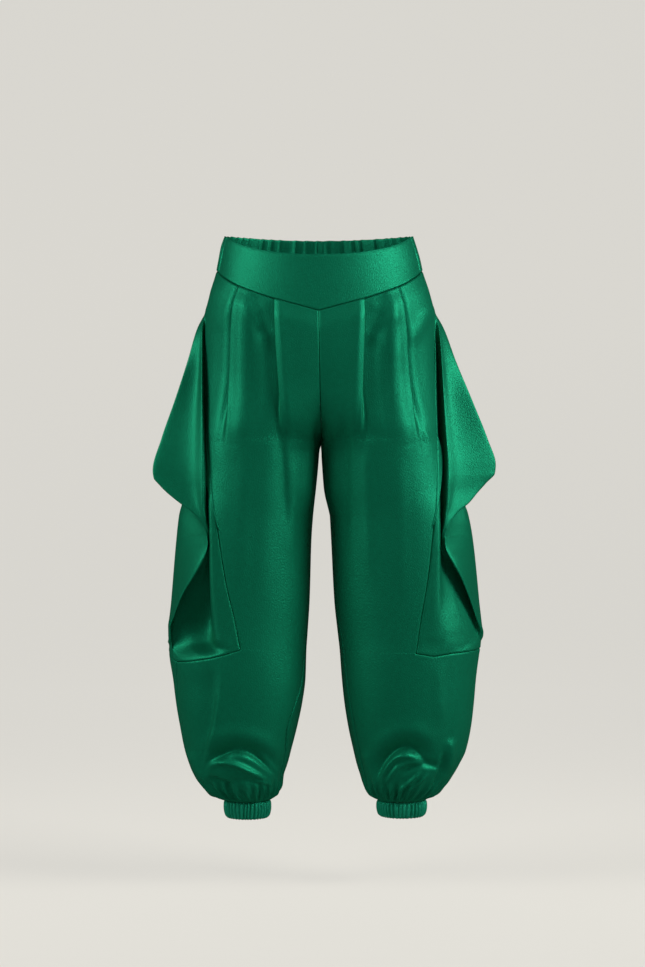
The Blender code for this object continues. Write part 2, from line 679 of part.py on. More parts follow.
def build_drape(side):
    """Side panel that cascades outward between hip and knee and lies in two layers above the knee."""
    even = [1.0] * len(DRAPE_SHARES)
    shares = [at.x for at in curve_through([Vector((s, 0, 0)) for s in DRAPE_SHARES], DRAPE_STEPS, even)]
    last = len(shares) - 1
    seam = read(SEAMS, SEAM_COLUMNS, sided("side", side), KNEE)
    rows = []
    for z in sorted(UPPER_ROWS + DRAPE_EXTRA_ROWS, reverse=True):
        nominal = z
        if z == WAIST_SIDE:
            nominal -= SEAM_GAP / 2
        if z == KNEE:
            nominal += SEAM_GAP / 2
        gap = degrees(SEAM_GAP / 2 / section(side, z)[1])
        start = settle(lambda at: slant_angle(side, at) - gap, nominal)[0]
        end = settle(lambda at: gap - slant_angle(side, at), nominal)[0]
        free = smooth(DRAPE_FREE[0], DRAPE_FREE[1], z) * smooth(DRAPE_HELD[1], DRAPE_HELD[0], z)
        sunk = smooth(-560, KNEE, z)
        values = {name: read(DRAPE[side], DRAPE_COLUMNS, name, z) for name in DRAPE_COLUMNS[1:]}

        def fold_point(name):
            return Vector((side * values[name], values[name + "_y"], z))

        def on_skin(angle):
            return plain(side, angle, hang(angle, nominal))

        def rest_angle(j):
            if 2 * j <= last:
                stepped = mix(start, seam, 2 * j / last)
            else:
                stepped = mix(seam, end, 2 * j / last - 1)
            return mix(mix(start, end, shares[j]), stepped, sunk)

        hip_angle = -degrees(values["hip_y"] / section(side, z)[3])
        keys = [on_skin(start), fold_point("strip"), fold_point("groove"), fold_point("ridge"),
                fold_point("out_turn"), fold_point("in_turn"), plain(side, hip_angle, z),
                on_skin(mix(hip_angle, end, 0.5)), on_skin(end)]
        folded = curve_through(keys, DRAPE_STEPS, DRAPE_ROUNDING[side])
        row = []
        for j, point in enumerate(folded):
            angle = rest_angle(j)
            rest = on_skin(angle)
            point.z = rest.z
            sewn = j in (0, last) or z in (WAIST_SIDE, KNEE)
            direction = facing(plain, side, angle, hang(angle, nominal)) if sewn else None
            row.append((rest if sewn else rest.lerp(point, free), direction))
        rows.append(row)
    leg_panel(sided("drape", side), rows, [], SATIN_DARK)


def build_yoke():
    """Front yoke with a dipped rim and a V lower edge, doubled cloth."""
    steps = [0.0, 0.5, 1.0]
    rows = []
    for step in steps:
        row = []
        for side in (RIGHT, LEFT):
            half_row = []
            for j in range(len(front_columns(side, -100))):
                count = len(front_columns(side, -100))
                angle, seam = settle(lambda at: front_angle(side, j, count, at), WAIST_SIDE)
                angle = max(angle, SIDE_SEAM)
                rim = -FRONT_DIP * sin(radians(angle)) ** 1.2 + FRONT_DIP * sin(radians(SIDE_SEAM)) ** 1.2
                height = mix(rim, seam + SEAM_GAP / 2, step)
                if j == 0:
                    angle = 90.0
                half_row.append((plain(side, angle, height), facing(plain, side, angle, height)))
            if side == RIGHT:
                row += list(reversed(half_row))
            else:
                row += half_row[1:]
        rows.append(row)
    points = [p for row in rows for p, _ in row]
    edges = {k: d for k, (_, d) in enumerate(pair for row in rows for pair in row)}
    width = len(rows[0])
    faces = []
    for r in range(len(rows) - 1):
        link(faces, [r * width + j for j in range(width)], [(r + 1) * width + j for j in range(width)])
    sew_panel("waistband_front", points, faces, edges, BAND_CLOTH, SATIN)


def build_back_band():
    """Elastic back band, gathered waves raised over a plain inside."""
    steps = [0.0, 0.5, 1.0]
    halves = 3 * BACK_GATHERS // 2
    outer = []
    inner = []
    faces = []
    start = SIDE_SEAM - degrees(SEAM_GAP / 140)
    for step in steps:
        for k in range(-halves, halves + 1):
            side = RIGHT if k < 0 else LEFT
            share = abs(k) / halves
            angle = mix(-90.0, start, share)
            back = max(0.0, -sin(radians(angle)))
            height = mix(BACK_RISE * back ** 1.5, hang(min(angle, 0.0), WAIST_SIDE) + SEAM_GAP / 2, step)
            base = plain(side, angle, height)
            direction = facing(plain, side, angle, height)
            wave = cos(2 * pi * k / 3) * BACK_WAVE * smooth(1.0, 0.9, share)
            outer.append(base + direction * wave)
            inner.append(base - direction * BAND_CLOTH)
    width = 2 * halves + 1
    for r in range(len(steps) - 1):
        link(faces, [r * width + j for j in range(width)], [(r + 1) * width + j for j in range(width)])
    close_wall("waistband_back", outer, inner, faces, SATIN_DARK)


def build_cuff(side):
    """Narrow elastic cuff with ribs round a plain inside."""
    reach = {RIGHT: (112.9, 36.7, 27.0), LEFT: (132.3, 38.5, 25.0)}
    middle, half, height = reach[side]
    columns = 2 * CUFF_RIBS
    steps = [0.0, 0.5, 1.0]
    outer = []
    inner = []
    faces = []
    for step in steps:
        bulge = CUFF_BULGE * sin(pi * step)
        for k in range(columns):
            turn = 2 * pi * k / columns
            rib = CUFF_WAVE if k % 2 == 0 else -CUFF_WAVE
            ray = Vector((side * cos(turn), sin(turn), 0))
            centre = Vector((side * middle, 0, CUFF_TOP - height * step))
            outer.append(centre + ray * (half + bulge + rib))
            inner.append(centre + ray * (half - CUFF_WALL))
    for r in range(len(steps) - 1):
        upper = [r * columns + k % columns for k in range(columns + 1)]
        lower = [(r + 1) * columns + k % columns for k in range(columns + 1)]
        link(faces, upper, lower)
    close_wall(sided("cuff", side), outer, inner, faces, SATIN_DARK)


def main():
    for old in list(bpy.data.objects):
        bpy.data.objects.remove(old, do_unlink=True)
    home = bpy.data.collections.new(COLLECTION)
    bpy.context.scene.collection.children.link(home)
    build_yoke()
    build_back_band()
    for side in (RIGHT, LEFT):
        build_front(side)
        build_back(side)
        build_drape(side)
        build_cuff(side)


main()
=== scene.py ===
from math import degrees, pi, radians

import bmesh
import bpy
import numpy as np
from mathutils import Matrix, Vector


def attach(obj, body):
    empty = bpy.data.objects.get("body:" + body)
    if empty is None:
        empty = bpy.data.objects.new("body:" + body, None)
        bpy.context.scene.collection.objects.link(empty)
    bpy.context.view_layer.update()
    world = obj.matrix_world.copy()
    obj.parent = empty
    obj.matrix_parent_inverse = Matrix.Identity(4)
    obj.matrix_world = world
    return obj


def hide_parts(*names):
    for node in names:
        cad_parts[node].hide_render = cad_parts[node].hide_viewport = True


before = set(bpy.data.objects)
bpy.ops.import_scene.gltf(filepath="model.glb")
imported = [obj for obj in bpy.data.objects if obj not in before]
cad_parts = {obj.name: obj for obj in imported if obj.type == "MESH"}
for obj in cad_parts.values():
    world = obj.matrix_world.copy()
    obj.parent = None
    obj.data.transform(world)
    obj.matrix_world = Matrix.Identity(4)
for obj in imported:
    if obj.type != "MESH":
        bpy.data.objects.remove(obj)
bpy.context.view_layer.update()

# Pleated satin trousers in their worn shape. All sizes are in millimetres and become metres when a mesh is
# written. Each leg is described outward from the centre: "out" is the distance from the centre plane, and
# an angle of 0 is the side of the leg, +90 the middle of its front, -90 the middle of its back.
mm = 0.001
right, left = -1, 1
sideNames = {right: "right", left: "left"}
seamGap = 0.02
kneeLevel = -655.0
hipLevel = -260.0
crotchLevel = -328.0
legEnd = -894.3
legFoot = -878.0        # below this the folds of the leg fade towards its cuff
waistSide = -55.0

# Outline of each half: outer and inner reach, depth of front and back, and how far the half has closed into
# a leg of its own, 0 for half a body and 1 for a tube.
bodyColumns = ("z", "outerRight", "innerRight", "outerLeft", "innerLeft", "front", "back", "closed")
bodyRows = [
    (10, 146, 0, 148, 0, 102, 107, 0),
    (0, 148.5, 0, 150, 0, 103, 108, 0),
    (-14, 153, 0, 154, 0, 104, 110, 0),
    (-34, 157, 0, 160, 0, 106, 112, 0),
    (-55, 162, 0, 165.5, 0, 108, 115, 0),
    (-90, 172.5, 0, 177, 0, 112, 121, 0),
    (-135, 182, -0.6, 187, 0.6, 116, 128, 0),
    (-200, 186, -1.8, 191, 1.8, 118, 132, 0.09),
    (-250, 189.5, -2.9, 194.5, 2.9, 116, 130, 0.25),
    (-285, 193, -3.7, 198, 3.7, 114, 127, 0.52),
    (-305, 195, -4.2, 200.5, 4.2, 112, 124, 0.78),
    (-318, 196, -4.5, 202, 4.5, 110, 121, 0.945),
    (-328, 197, -4.8, 203.5, 4.8, 109, 119, 1),
    (-337, 198.5, -2, 205.5, 7.4, 108.5, 117.5, 1),
    (-371, 204, 1, 214, 10.5, 106, 112, 1),
    (-405, 211.5, 4.5, 224, 14, 104, 108, 1),
    (-423, 217, 6.5, 232, 16, 103, 106, 1),
    (-444, 222, 8.5, 239, 18, 102, 104, 1),
    (-480, 226, 11, 245.5, 20, 101, 102, 1),
    (-577, 234, 14, 255.5, 25, 98, 97, 1),
    (-633, 238.5, 17.5, 260.5, 31, 97, 94, 1),
    (-655, 237.5, 19, 257, 33.5, 97, 93, 1),
    (-701, 231, 20.5, 250.5, 37, 95, 91, 1),
    (-739, 226.5, 25.5, 247, 41, 92, 88, 1),
    (-777, 220, 33.5, 242.5, 47, 87, 84, 1),
    (-816, 212, 43.5, 234, 55.5, 79, 77, 1),
    (-835, 206, 48.5, 225, 60, 74, 72, 1),
    (-854, 198, 55, 214, 66, 68, 66, 1),
    (-873, 183, 60.5, 197.5, 73.5, 58, 57, 1),
    (-886, 167.5, 68.5, 182.5, 83, 47, 47, 1),
    (-892, 156.5, 74, 172.5, 90, 39.5, 39.5, 1),
    (-894.3, 148.5, 77.3, 169.5, 95, 35.5, 35.5, 1),
]

# Where the slanted seam between a leg panel and the side drape lies, measured outward.
slantColumns = ("z", "right", "left")
slantRows = [
    (-55, 156.5, 159.7),
    (-90, 167, 170.5),
    (-135, 176, 180),
    (-196, 178, 183),
    (-260, 177.6, 184.5),
    (-330, 173.5, 185.5),
    (-388, 166, 184),
    (-430, 160.5, 181.3),
    (-478, 153.5, 176.7),
    (-543, 143, 169),
    (-605, 128.5, 158),
    (-655, 120, 151),
]

# Angles of the inseam and, below the knee, of the side seam.
seamColumns = ("z", "inseamRight", "inseamLeft", "sideRight", "sideLeft")
seamRows = [
    (-328, 180, 180, 30, 12),
    (-500, 180, 175, 30, 12),
    (-612, 175, 164, 30, 12),
    (-655, 170, 161, 30, 12),
    (-701, 163, 158, 23, 10),
    (-773, 147, 154, 11, 6),
    (-835, 158, 153, 4, 3),
    (-894.3, 172, 160, 0, 0),
]

# The V seam under the yoke.
yokeSeamColumns = ("angle", "z")
yokeSeamRows = [
    (90, -126.7),
    (67.7, -107.6),
    (46, -87.3),
    (30, -71.5),
    (15, -60),
    (4, -55.6),
    (0, -55),
]

# Dip or rise of the knee seam at even steps, from the slanted seam in front to the side seam, and from
# there to the slanted seam behind. It fades over the reach above and below the seam.
kneeReach = 45.0
kneeFront = {right: (6, -2, -8, -12, -15, -16), left: (0, -5, -1, 0, 1, 2)}
kneeBack = {right: (-16, -4, 0, 0, 0, 0), left: (2, 1, 0, 0, 0, 0)}


# Ease from 0 at low to 1 at high.
def ease(low, high, value):
    t = np.clip((np.asarray(value, dtype=float) - low) / (high - low), 0.0, 1.0)
    return t * t * (3 - 2 * t)


def mix(a, b, t):
    return a + (b - a) * t


# Bell curve, 1 where the value is 0.
def bell(value, width):
    return np.exp(-(value / width) ** 2)


# Value of a table's column at heights or angles, on a smooth curve that never overshoots.
def readTable(columns, rows, name, at):
    c = columns.index(name)
    places = np.array([row[0] for row in rows][::-1], dtype=float)
    values = np.array([row[c] for row in rows][::-1], dtype=float)
    at = np.clip(np.asarray(at, dtype=float), places[0], places[-1])
    spans = np.diff(places)
    rises = np.diff(values) / spans
    before, after = rises[:-1], rises[1:]
    steady = before * after > 0
    slopes = np.zeros(len(places))
    total = np.where(steady, before + after, 1.0)
    slopes[1:-1] = np.where(steady, 2 * before * after / total, 0.0)
    slopes[0], slopes[-1] = rises[0], rises[-1]
    k = np.clip(np.searchsorted(places, at, side="right") - 1, 0, len(spans) - 1)
    t = (at - places[k]) / spans[k]
    startPart = (1 + 2 * t) * (1 - t) ** 2 * values[k] + t * (1 - t) ** 2 * spans[k] * slopes[k]
    endPart = t * t * (3 - 2 * t) * values[k + 1] + t * t * (t - 1) * spans[k] * slopes[k + 1]
    return startPart + endPart


def sided(name, side):
    return name + ("Right" if side == right else "Left")


def bodyAt(name, z):
    return readTable(bodyColumns, bodyRows, name, z)


def seamAt(name, side, z):
    return readTable(seamColumns, seamRows, sided(name, side), z)


def slantReach(side, z):
    return readTable(slantColumns, slantRows, sideNames[side], z)


# Inner reach of one half, past half the gap of the seam.
def innerReach(side, z):
    return bodyAt(sided("inner", side), z) + seamGap / 2


# Middle, half width, front depth and back depth of one half at a height.
def legSection(side, z):
    outer = bodyAt(sided("outer", side), z)
    half = (outer - innerReach(side, z)) / (1 + bodyAt("closed", z))
    return outer - half, half, bodyAt("front", z), bodyAt("back", z)


# Angle of the point on the front that lies this far outward.
def angleAt(side, out, z):
    middle, half, _, _ = legSection(side, z)
    return np.degrees(np.arccos(np.clip((out - middle) / half, -1.0, 1.0)))


def halfGap(side, z):
    return np.degrees(seamGap / 2 / legSection(side, z)[1])


def slantAngle(side, z):
    return angleAt(side, slantReach(side, z), z)


# Angle of the front panel's inner edge: the centre seam above the crotch, the inseam below it.
def frontInnerAngle(side, z):
    gap = halfGap(side, z)
    centre = np.minimum(angleAt(side, innerReach(side, z), z), 180 - gap)
    return np.where(z >= crotchLevel, centre, seamAt("inseam", side, z) - gap)


# The same edge of the back panel, which runs on past the side where the inseam has moved forward.
def backInnerAngle(side, z):
    gap = halfGap(side, z)
    centre = np.maximum(-angleAt(side, innerReach(side, z), z), gap - 180)
    return np.where(z >= crotchLevel, centre, seamAt("inseam", side, z) + gap - 360)


def sideSeamAngle(side, z, way):
    return seamAt("side", side, z) + way * halfGap(side, z)


# Dip of the knee seam at an angle, straight between the steps of its two lists.
def kneeDip(side, angle):
    corner = float(slantAngle(side, kneeLevel))
    seam = float(seamAt("side", side, kneeLevel))
    angle = np.where(angle < -180, angle + 360, angle)
    frontPlaces = np.linspace(corner, seam, len(kneeFront[side]))[::-1]
    backPlaces = np.linspace(seam, -corner, len(kneeBack[side]))[::-1]
    dip = np.interp(angle, frontPlaces, kneeFront[side][::-1])
    dip = np.where(angle < seam, np.interp(angle, backPlaces, kneeBack[side][::-1]), dip)
    dip = np.where(angle >= corner, kneeFront[side][0] * ease(corner + 40, corner, angle), dip)
    return np.where(angle <= -corner, 0.0, dip)


# Points of the smooth form, as an array with X, Y and Z in its last place.
def plainForm(side, angle, z):
    middle, half, front, back = legSection(side, z)
    turn = np.radians(angle)
    depth = np.where(np.sin(turn) > 0, front, back)
    dip = kneeDip(side, angle) * bell(z - kneeLevel, kneeReach)
    return np.stack([side * (middle + half * np.cos(turn)), -depth * np.sin(turn), z + dip], axis=-1)


def unit(vectors):
    return vectors / np.maximum(np.linalg.norm(vectors, axis=-1, keepdims=True), 1e-9)


# Outward directions of the smooth form.
def outward(side, angle, z):
    step = 0.6
    along = plainForm(side, angle + step, z) - plainForm(side, angle - step, z)
    down = plainForm(side, angle, z - step) - plainForm(side, angle, z + step)
    return unit(np.cross(along, down) * side)


# A form's points on both halves at once, each on its own side.
def bothHalves(form, side, angle, z):
    return np.where((side < 0)[..., None], form(right, angle, z), form(left, angle, z))


# Height of a row: it follows the waistband's lower edge at the top and is level from the hip down.
def hang(angle, z):
    frontTop = readTable(yokeSeamColumns, yokeSeamRows, "z", angle)
    backTop = waistSide + backBand["rise"] * np.sin(np.radians(angle)) ** 2
    top = np.where(angle >= 0, frontTop, backTop)
    hung = top + (z - waistSide) * (hipLevel - top) / (hipLevel - waistSide)
    return np.where(z <= hipLevel, z, hung)


# Angle of points whose angle depends on their height and whose height depends on their angle.
def settle(angleOf, z):
    height = z
    for _ in range(5):
        angle = angleOf(height)
        height = hang(angle, z)
    return angle


# Direction of a smooth curve at each of its points, where the shorter of the two chords counts more.
def headings(keys):
    chords = np.diff(keys, axis=0)
    lengths = np.maximum(np.linalg.norm(chords, axis=-1, keepdims=True), 1e-6)
    result = np.empty_like(keys)
    result[0] = chords[0] / lengths[0]
    result[-1] = chords[-1] / lengths[-1]
    near, far = lengths[:-1], lengths[1:]
    result[1:-1] = (chords[:-1] * far / near + chords[1:] * near / far) / (near + far)
    return result


# Points on smooth curves through the keys, one curve for each row, with a number of steps between keys. A
# short direction turns the curve sharply at its key.
def curveThrough(keys, steps, directions=None):
    keys = np.asarray(keys, dtype=float)
    directions = headings(keys) if directions is None else directions
    result = [keys[0]]
    for k, count in enumerate(steps):
        chord = np.linalg.norm(keys[k + 1] - keys[k], axis=-1, keepdims=True)
        for step in range(1, count + 1):
            t = step / count
            here = (1 + 2 * t) * (1 - t) ** 2 * keys[k] + t * (1 - t) ** 2 * chord * directions[k]
            there = t * t * (3 - 2 * t) * keys[k + 1] + t * t * (t - 1) * chord * directions[k + 1]
            result.append(here + there)
    return np.array(result)


# Heights from top to bottom whose spacing follows the wanted spacing named at some of the heights.
def rowHeights(top, bottom, spacings):
    heights = [top]
    places = [z for z, _ in spacings][::-1]
    steps = [step for _, step in spacings][::-1]
    while heights[-1] > bottom:
        heights.append(heights[-1] - float(np.interp(heights[-1], places, steps)))
    heights = np.array(heights)
    return top + (heights - top) * (bottom - top) / (heights[-1] - top)


# Share of the flare at the lower edge of the yoke, where the cloth of the pleats fills it out.
def flareShare(angle):
    return ease(15, 45, angle)


# Rise of a list of folds at points given outward and in height. A fold runs along a bent line through three
# points, has a width to each side of that line and a rise, below zero for a trough, and fades at its ends.
def foldRise(folds, out, z):
    total = np.zeros_like(out)
    for outA, zA, outB, zB, outC, zC, widthIn, widthOut, height in folds:
        reach = 3.2 * max(widthIn, widthOut)
        near = (z > min(zA, zB, zC) - reach) & (z < max(zA, zB, zC) + reach)
        if not near.any():
            continue
        x, h = out[near], z[near]
        best = np.full(x.shape, 1e9)
        place = np.zeros(x.shape)
        sign = np.ones(x.shape)
        for t in np.linspace(0, 1, 40 + int(240 / min(widthIn, widthOut))):
            lineX = mix(mix(outA, outB, t), mix(outB, outC, t), t)
            lineZ = mix(mix(zA, zB, t), mix(zB, zC, t), t)
            runX = mix(outB - outA, outC - outB, t)
            runZ = mix(zB - zA, zC - zB, t)
            gap = np.hypot(x - lineX, h - lineZ)
            closer = gap < best
            best = np.where(closer, gap, best)
            place = np.where(closer, t, place)
            sign = np.where(closer, np.sign((x - lineX) * -runZ + (h - lineZ) * runX), sign)
        fade = ease(0, 0.3, place) * ease(1, 0.7, place)
        total[near] += height * fade * bell(best, np.where(sign > 0, widthOut, widthIn))
    return total


def addObject(name, data):
    added = bpy.data.objects.new(name, data)
    bpy.context.scene.collection.objects.link(added)
    return added


# Cloth laid over a grid: a point for each row and column, a UV map in metres along the cloth, the outside
# facing away from the body and a thin wall set inward. Past the corner the upper rows are cut away.
def layCloth(name, points, away, wall, corner=None, ring=False):
    rowCount, columnCount = points.shape[:2]
    cloth = bmesh.new()
    bmesh.ops.create_grid(cloth, x_segments=columnCount - 1, y_segments=rowCount - 1, size=1)
    if corner is not None:
        edgeX = corner[1] / (columnCount - 1) * 2 - 1
        edgeY = 1 - corner[0] / (rowCount - 1) * 2
        middles = [(face, face.calc_center_median()) for face in cloth.faces]
        cutAway = [face for face, middle in middles if middle.x > edgeX and middle.y > edgeY]
        bmesh.ops.delete(cloth, geom=cutAway, context="FACES")
    mesh = bpy.data.meshes.new(name)
    cloth.to_mesh(mesh)
    cloth.free()
    flat = np.empty(len(mesh.vertices) * 3)
    mesh.vertices.foreach_get("co", flat)
    flat = flat.reshape(-1, 3)
    c = np.rint((flat[:, 0] + 1) / 2 * (columnCount - 1)).astype(int)
    r = np.rint((1 - flat[:, 1]) / 2 * (rowCount - 1)).astype(int)
    mesh.vertices.foreach_set("co", (points[r, c] * mm).ravel())
    along, _ = rowDistances(points)
    down = np.linalg.norm(np.diff(points, axis=0), axis=-1).mean(axis=1)
    fallen = np.concatenate([[0], np.cumsum(down)])
    corners = np.empty(len(mesh.loops), dtype=np.int32)
    mesh.loops.foreach_get("vertex_index", corners)
    weave = mesh.uv_layers.new(name="weave")
    r, c = r[corners], c[corners]
    weave.data.foreach_set("uv", np.stack([along[r, c] * mm, -fallen[r] * mm], axis=-1).ravel())
    facing = np.cross(np.gradient(points, axis=1), -np.gradient(points, axis=0))
    if (facing * away).sum() < 0:
        mesh.flip_normals()
    if ring:
        closed = bmesh.new()
        closed.from_mesh(mesh)
        bmesh.ops.remove_doubles(closed, verts=closed.verts, dist=1e-7)
        closed.to_mesh(mesh)
        closed.free()
    mesh.update()
    mesh.shade_smooth()
    piece = addObject(name, mesh)
    shell = piece.modifiers.new("wall", "SOLIDIFY")
    shell.thickness = wall * mm
    shell.offset = -1
    shell.use_rim = True
    area = sum(face.area for face in mesh.polygons)
    print(f"{name}: {rowCount} rows, {columnCount} columns, {area:.3f} square metres")
    return piece


# Distances along each row from its first and from its last point.
def rowDistances(points, last=None):
    steps = np.linalg.norm(np.diff(points, axis=1), axis=-1)
    fromFirst = np.concatenate([np.zeros((len(points), 1)), np.cumsum(steps, axis=1)], axis=1)
    last = points.shape[1] - 1 if last is None else last
    return fromFirst, np.abs(fromFirst[:, last:last + 1] - fromFirst)


# Relief of the cloth beside a sewn edge: pulled in at the stitches and pressed up over the seam allowance.
seams = {"pull": 1.35, "pullWidth": 0.85, "press": 0.12, "pressAt": 3.4, "pressWidth": 2.0,
         "yokePull": 0.3, "yokeWidth": 1.2, "inseamPull": 1.6, "inseamWidth": 2.2}
edgeColumns = (0.7, 1.5, 2.4, 3.6, 5.2)    # close columns beside a seam, so that its relief has points


def seamRelief(distance):
    pull = seams["pull"] * bell(distance, seams["pullWidth"])
    press = seams["press"] * bell(distance - seams["pressAt"], seams["pressWidth"])
    return press - pull


# Adds the close columns beside the first and last column of angles and lifts. Where the next column is
# near they come closer together, so that none passes it.
def closeEdges(angles, lifts, degreesPerMm):
    def beside(edge, following):
        turn = angles[:, following] - angles[:, edge]
        gap = np.maximum(np.abs(turn) / degreesPerMm, 0.1)
        shares = [np.minimum(step / gap, step / 6.2)[:, None] for step in edgeColumns]
        return ([angles[:, [edge]] + turn[:, None] * share for share in shares],
                [mix(lifts[:, [edge]], lifts[:, [following]], share) for share in shares])

    ends = zip((angles, lifts), beside(0, 1), beside(-1, -2))
    return [np.concatenate([values[:, :1], *near, values[:, 1:-1], *far[::-1], values[:, -1:]], axis=1)
            for values, near, far in ends]


# How the full leg bunches and gathers over its cuff. The crescents are folds as foldRise takes them.
bunching = {"waves": 26, "waveRise": 3.2, "waveTop": -848, "waveFull": -876}
bunching["frontRight"] = [
    (200, -822, 122, -730, 40, -842, 13, 13, 3.0),
    (186, -856, 121, -752, 48, -876, 16, 5, -11.0),
    (177, -850, 160, -790, 68, -868, 4.0, 5, 8.5),
    (176, -850, 152, -862, 128, -868, 6, 8, -6.5),
    (150, -862, 112, -846, 84, -866, 5, 5, -2.5),
    (98, -806, 70, -830, 56, -866, 5, 7, 3.0),
    (206, -810, 196, -838, 172, -868, 8, 8, 3.0),
    (102, -858, 88, -856, 74, -866, 2.4, 2.4, 2.2),
]
bunching["frontLeft"] = [
    (74, -842, 130, -722, 190, -812, 13, 13, 3.0),
    (82, -872, 128, -750, 180, -846, 5, 16, -11.0),
    (96, -872, 106, -790, 160, -824, 5, 4.5, 6.0),
    (112, -862, 128, -806, 174, -838, 4, 4, 2.6),
    (122, -852, 158, -816, 200, -842, 3.5, 8, -4.5),
    (122, -874, 142, -858, 162, -838, 2.8, 2.8, 4.2),
    (134, -876, 152, -862, 174, -842, 2.6, 2.6, 3.6),
    (104, -864, 114, -842, 128, -826, 3, 3, 2.8),
    (195, -806, 200, -840, 174, -876, 4, 9, -6.5),
    (206, -786, 210, -812, 200, -850, 9, 8, 5.0),
    (70, -806, 78, -836, 96, -872, 8, 8, 2.6),
]
bunching["backRight"] = [
    (186, -836, 130, -800, 70, -858, 10, 12, 6.5),
    (160, -796, 110, -790, 60, -832, 10, 10, 4.0),
    (180, -860, 150, -842, 110, -868, 6, 7, 2.6),
    (140, -850, 108, -836, 80, -866, 6, 7, 2.6),
]
bunching["backLeft"] = [
    (84, -848, 140, -796, 214, -842, 10, 12, 6.5),
    (78, -814, 130, -788, 196, -812, 10, 10, 4.0),
    (110, -864, 150, -842, 196, -866, 6, 7, 2.6),
]


# Rise of the bunched folds and the gathers.
def bunchRise(side, plain, angle, z):
    turn = np.radians(angle)
    out, level = side * plain[..., 0], plain[..., 2]
    folds = np.where(plain[..., 1] < 0, foldRise(bunching[sided("front", side)], out, level),
                     foldRise(bunching[sided("back", side)], out, level))
    folds = folds * ease(0.02, 0.4, np.abs(np.sin(turn))) * ease(legEnd, legFoot, z)
    wander = 0.9 * np.sin(3 * turn + side) + 0.55 * np.sin(7 * turn + 2 * side) + 0.02 * (z + 870)
    wave = np.cos(bunching["waves"] * turn + wander)
    strength = ease(bunching["waveTop"], bunching["waveFull"], z) * mix(0.12, 1.0, ease(legEnd, -884, z))
    uneven = 0.72 + 0.28 * np.sin(5 * turn + 1.3 * side) * np.cos(2 * turn)
    short = 0.55 * np.sin(2.2 * bunching["waves"] * turn + 3 * wander + 0.12 * z) * ease(-862, -884, z)
    return folds + bunching["waveRise"] * strength * uneven * (wave + short)


legRows = [(waistSide, 1.0), (-60, 1.8), (-66, 4.0), (-120, 5.0), (-300, 5.5), (-640, 5.5), (-650, 1.8),
           (kneeLevel, 0.9), (-660, 1.8), (-667, 4.5), (-760, 4.0), (-790, 2.4), (-860, 1.6), (-880, 1.3),
           (legEnd, 0.9)]
# How a leg panel is laid: the mean radius that turns millimetres into degrees, the share of its turn that
# the columns from above take at wrapFull and below it, how many of them spread out under the knee and how
# soon, how far below the crotch and out from it the centre seam is held shut, and the close columns beside
# the side seam.
legPanel = {"radius": 105, "wrapSteps": 16, "wrapShare": 0.72, "wrapFull": -790, "spread": 12,
            "spreadReach": 60, "shutBelow": 22, "shutOut": 7,
            "closeShares": (0.965, 0.978, 0.986, 0.993, 1.0)}


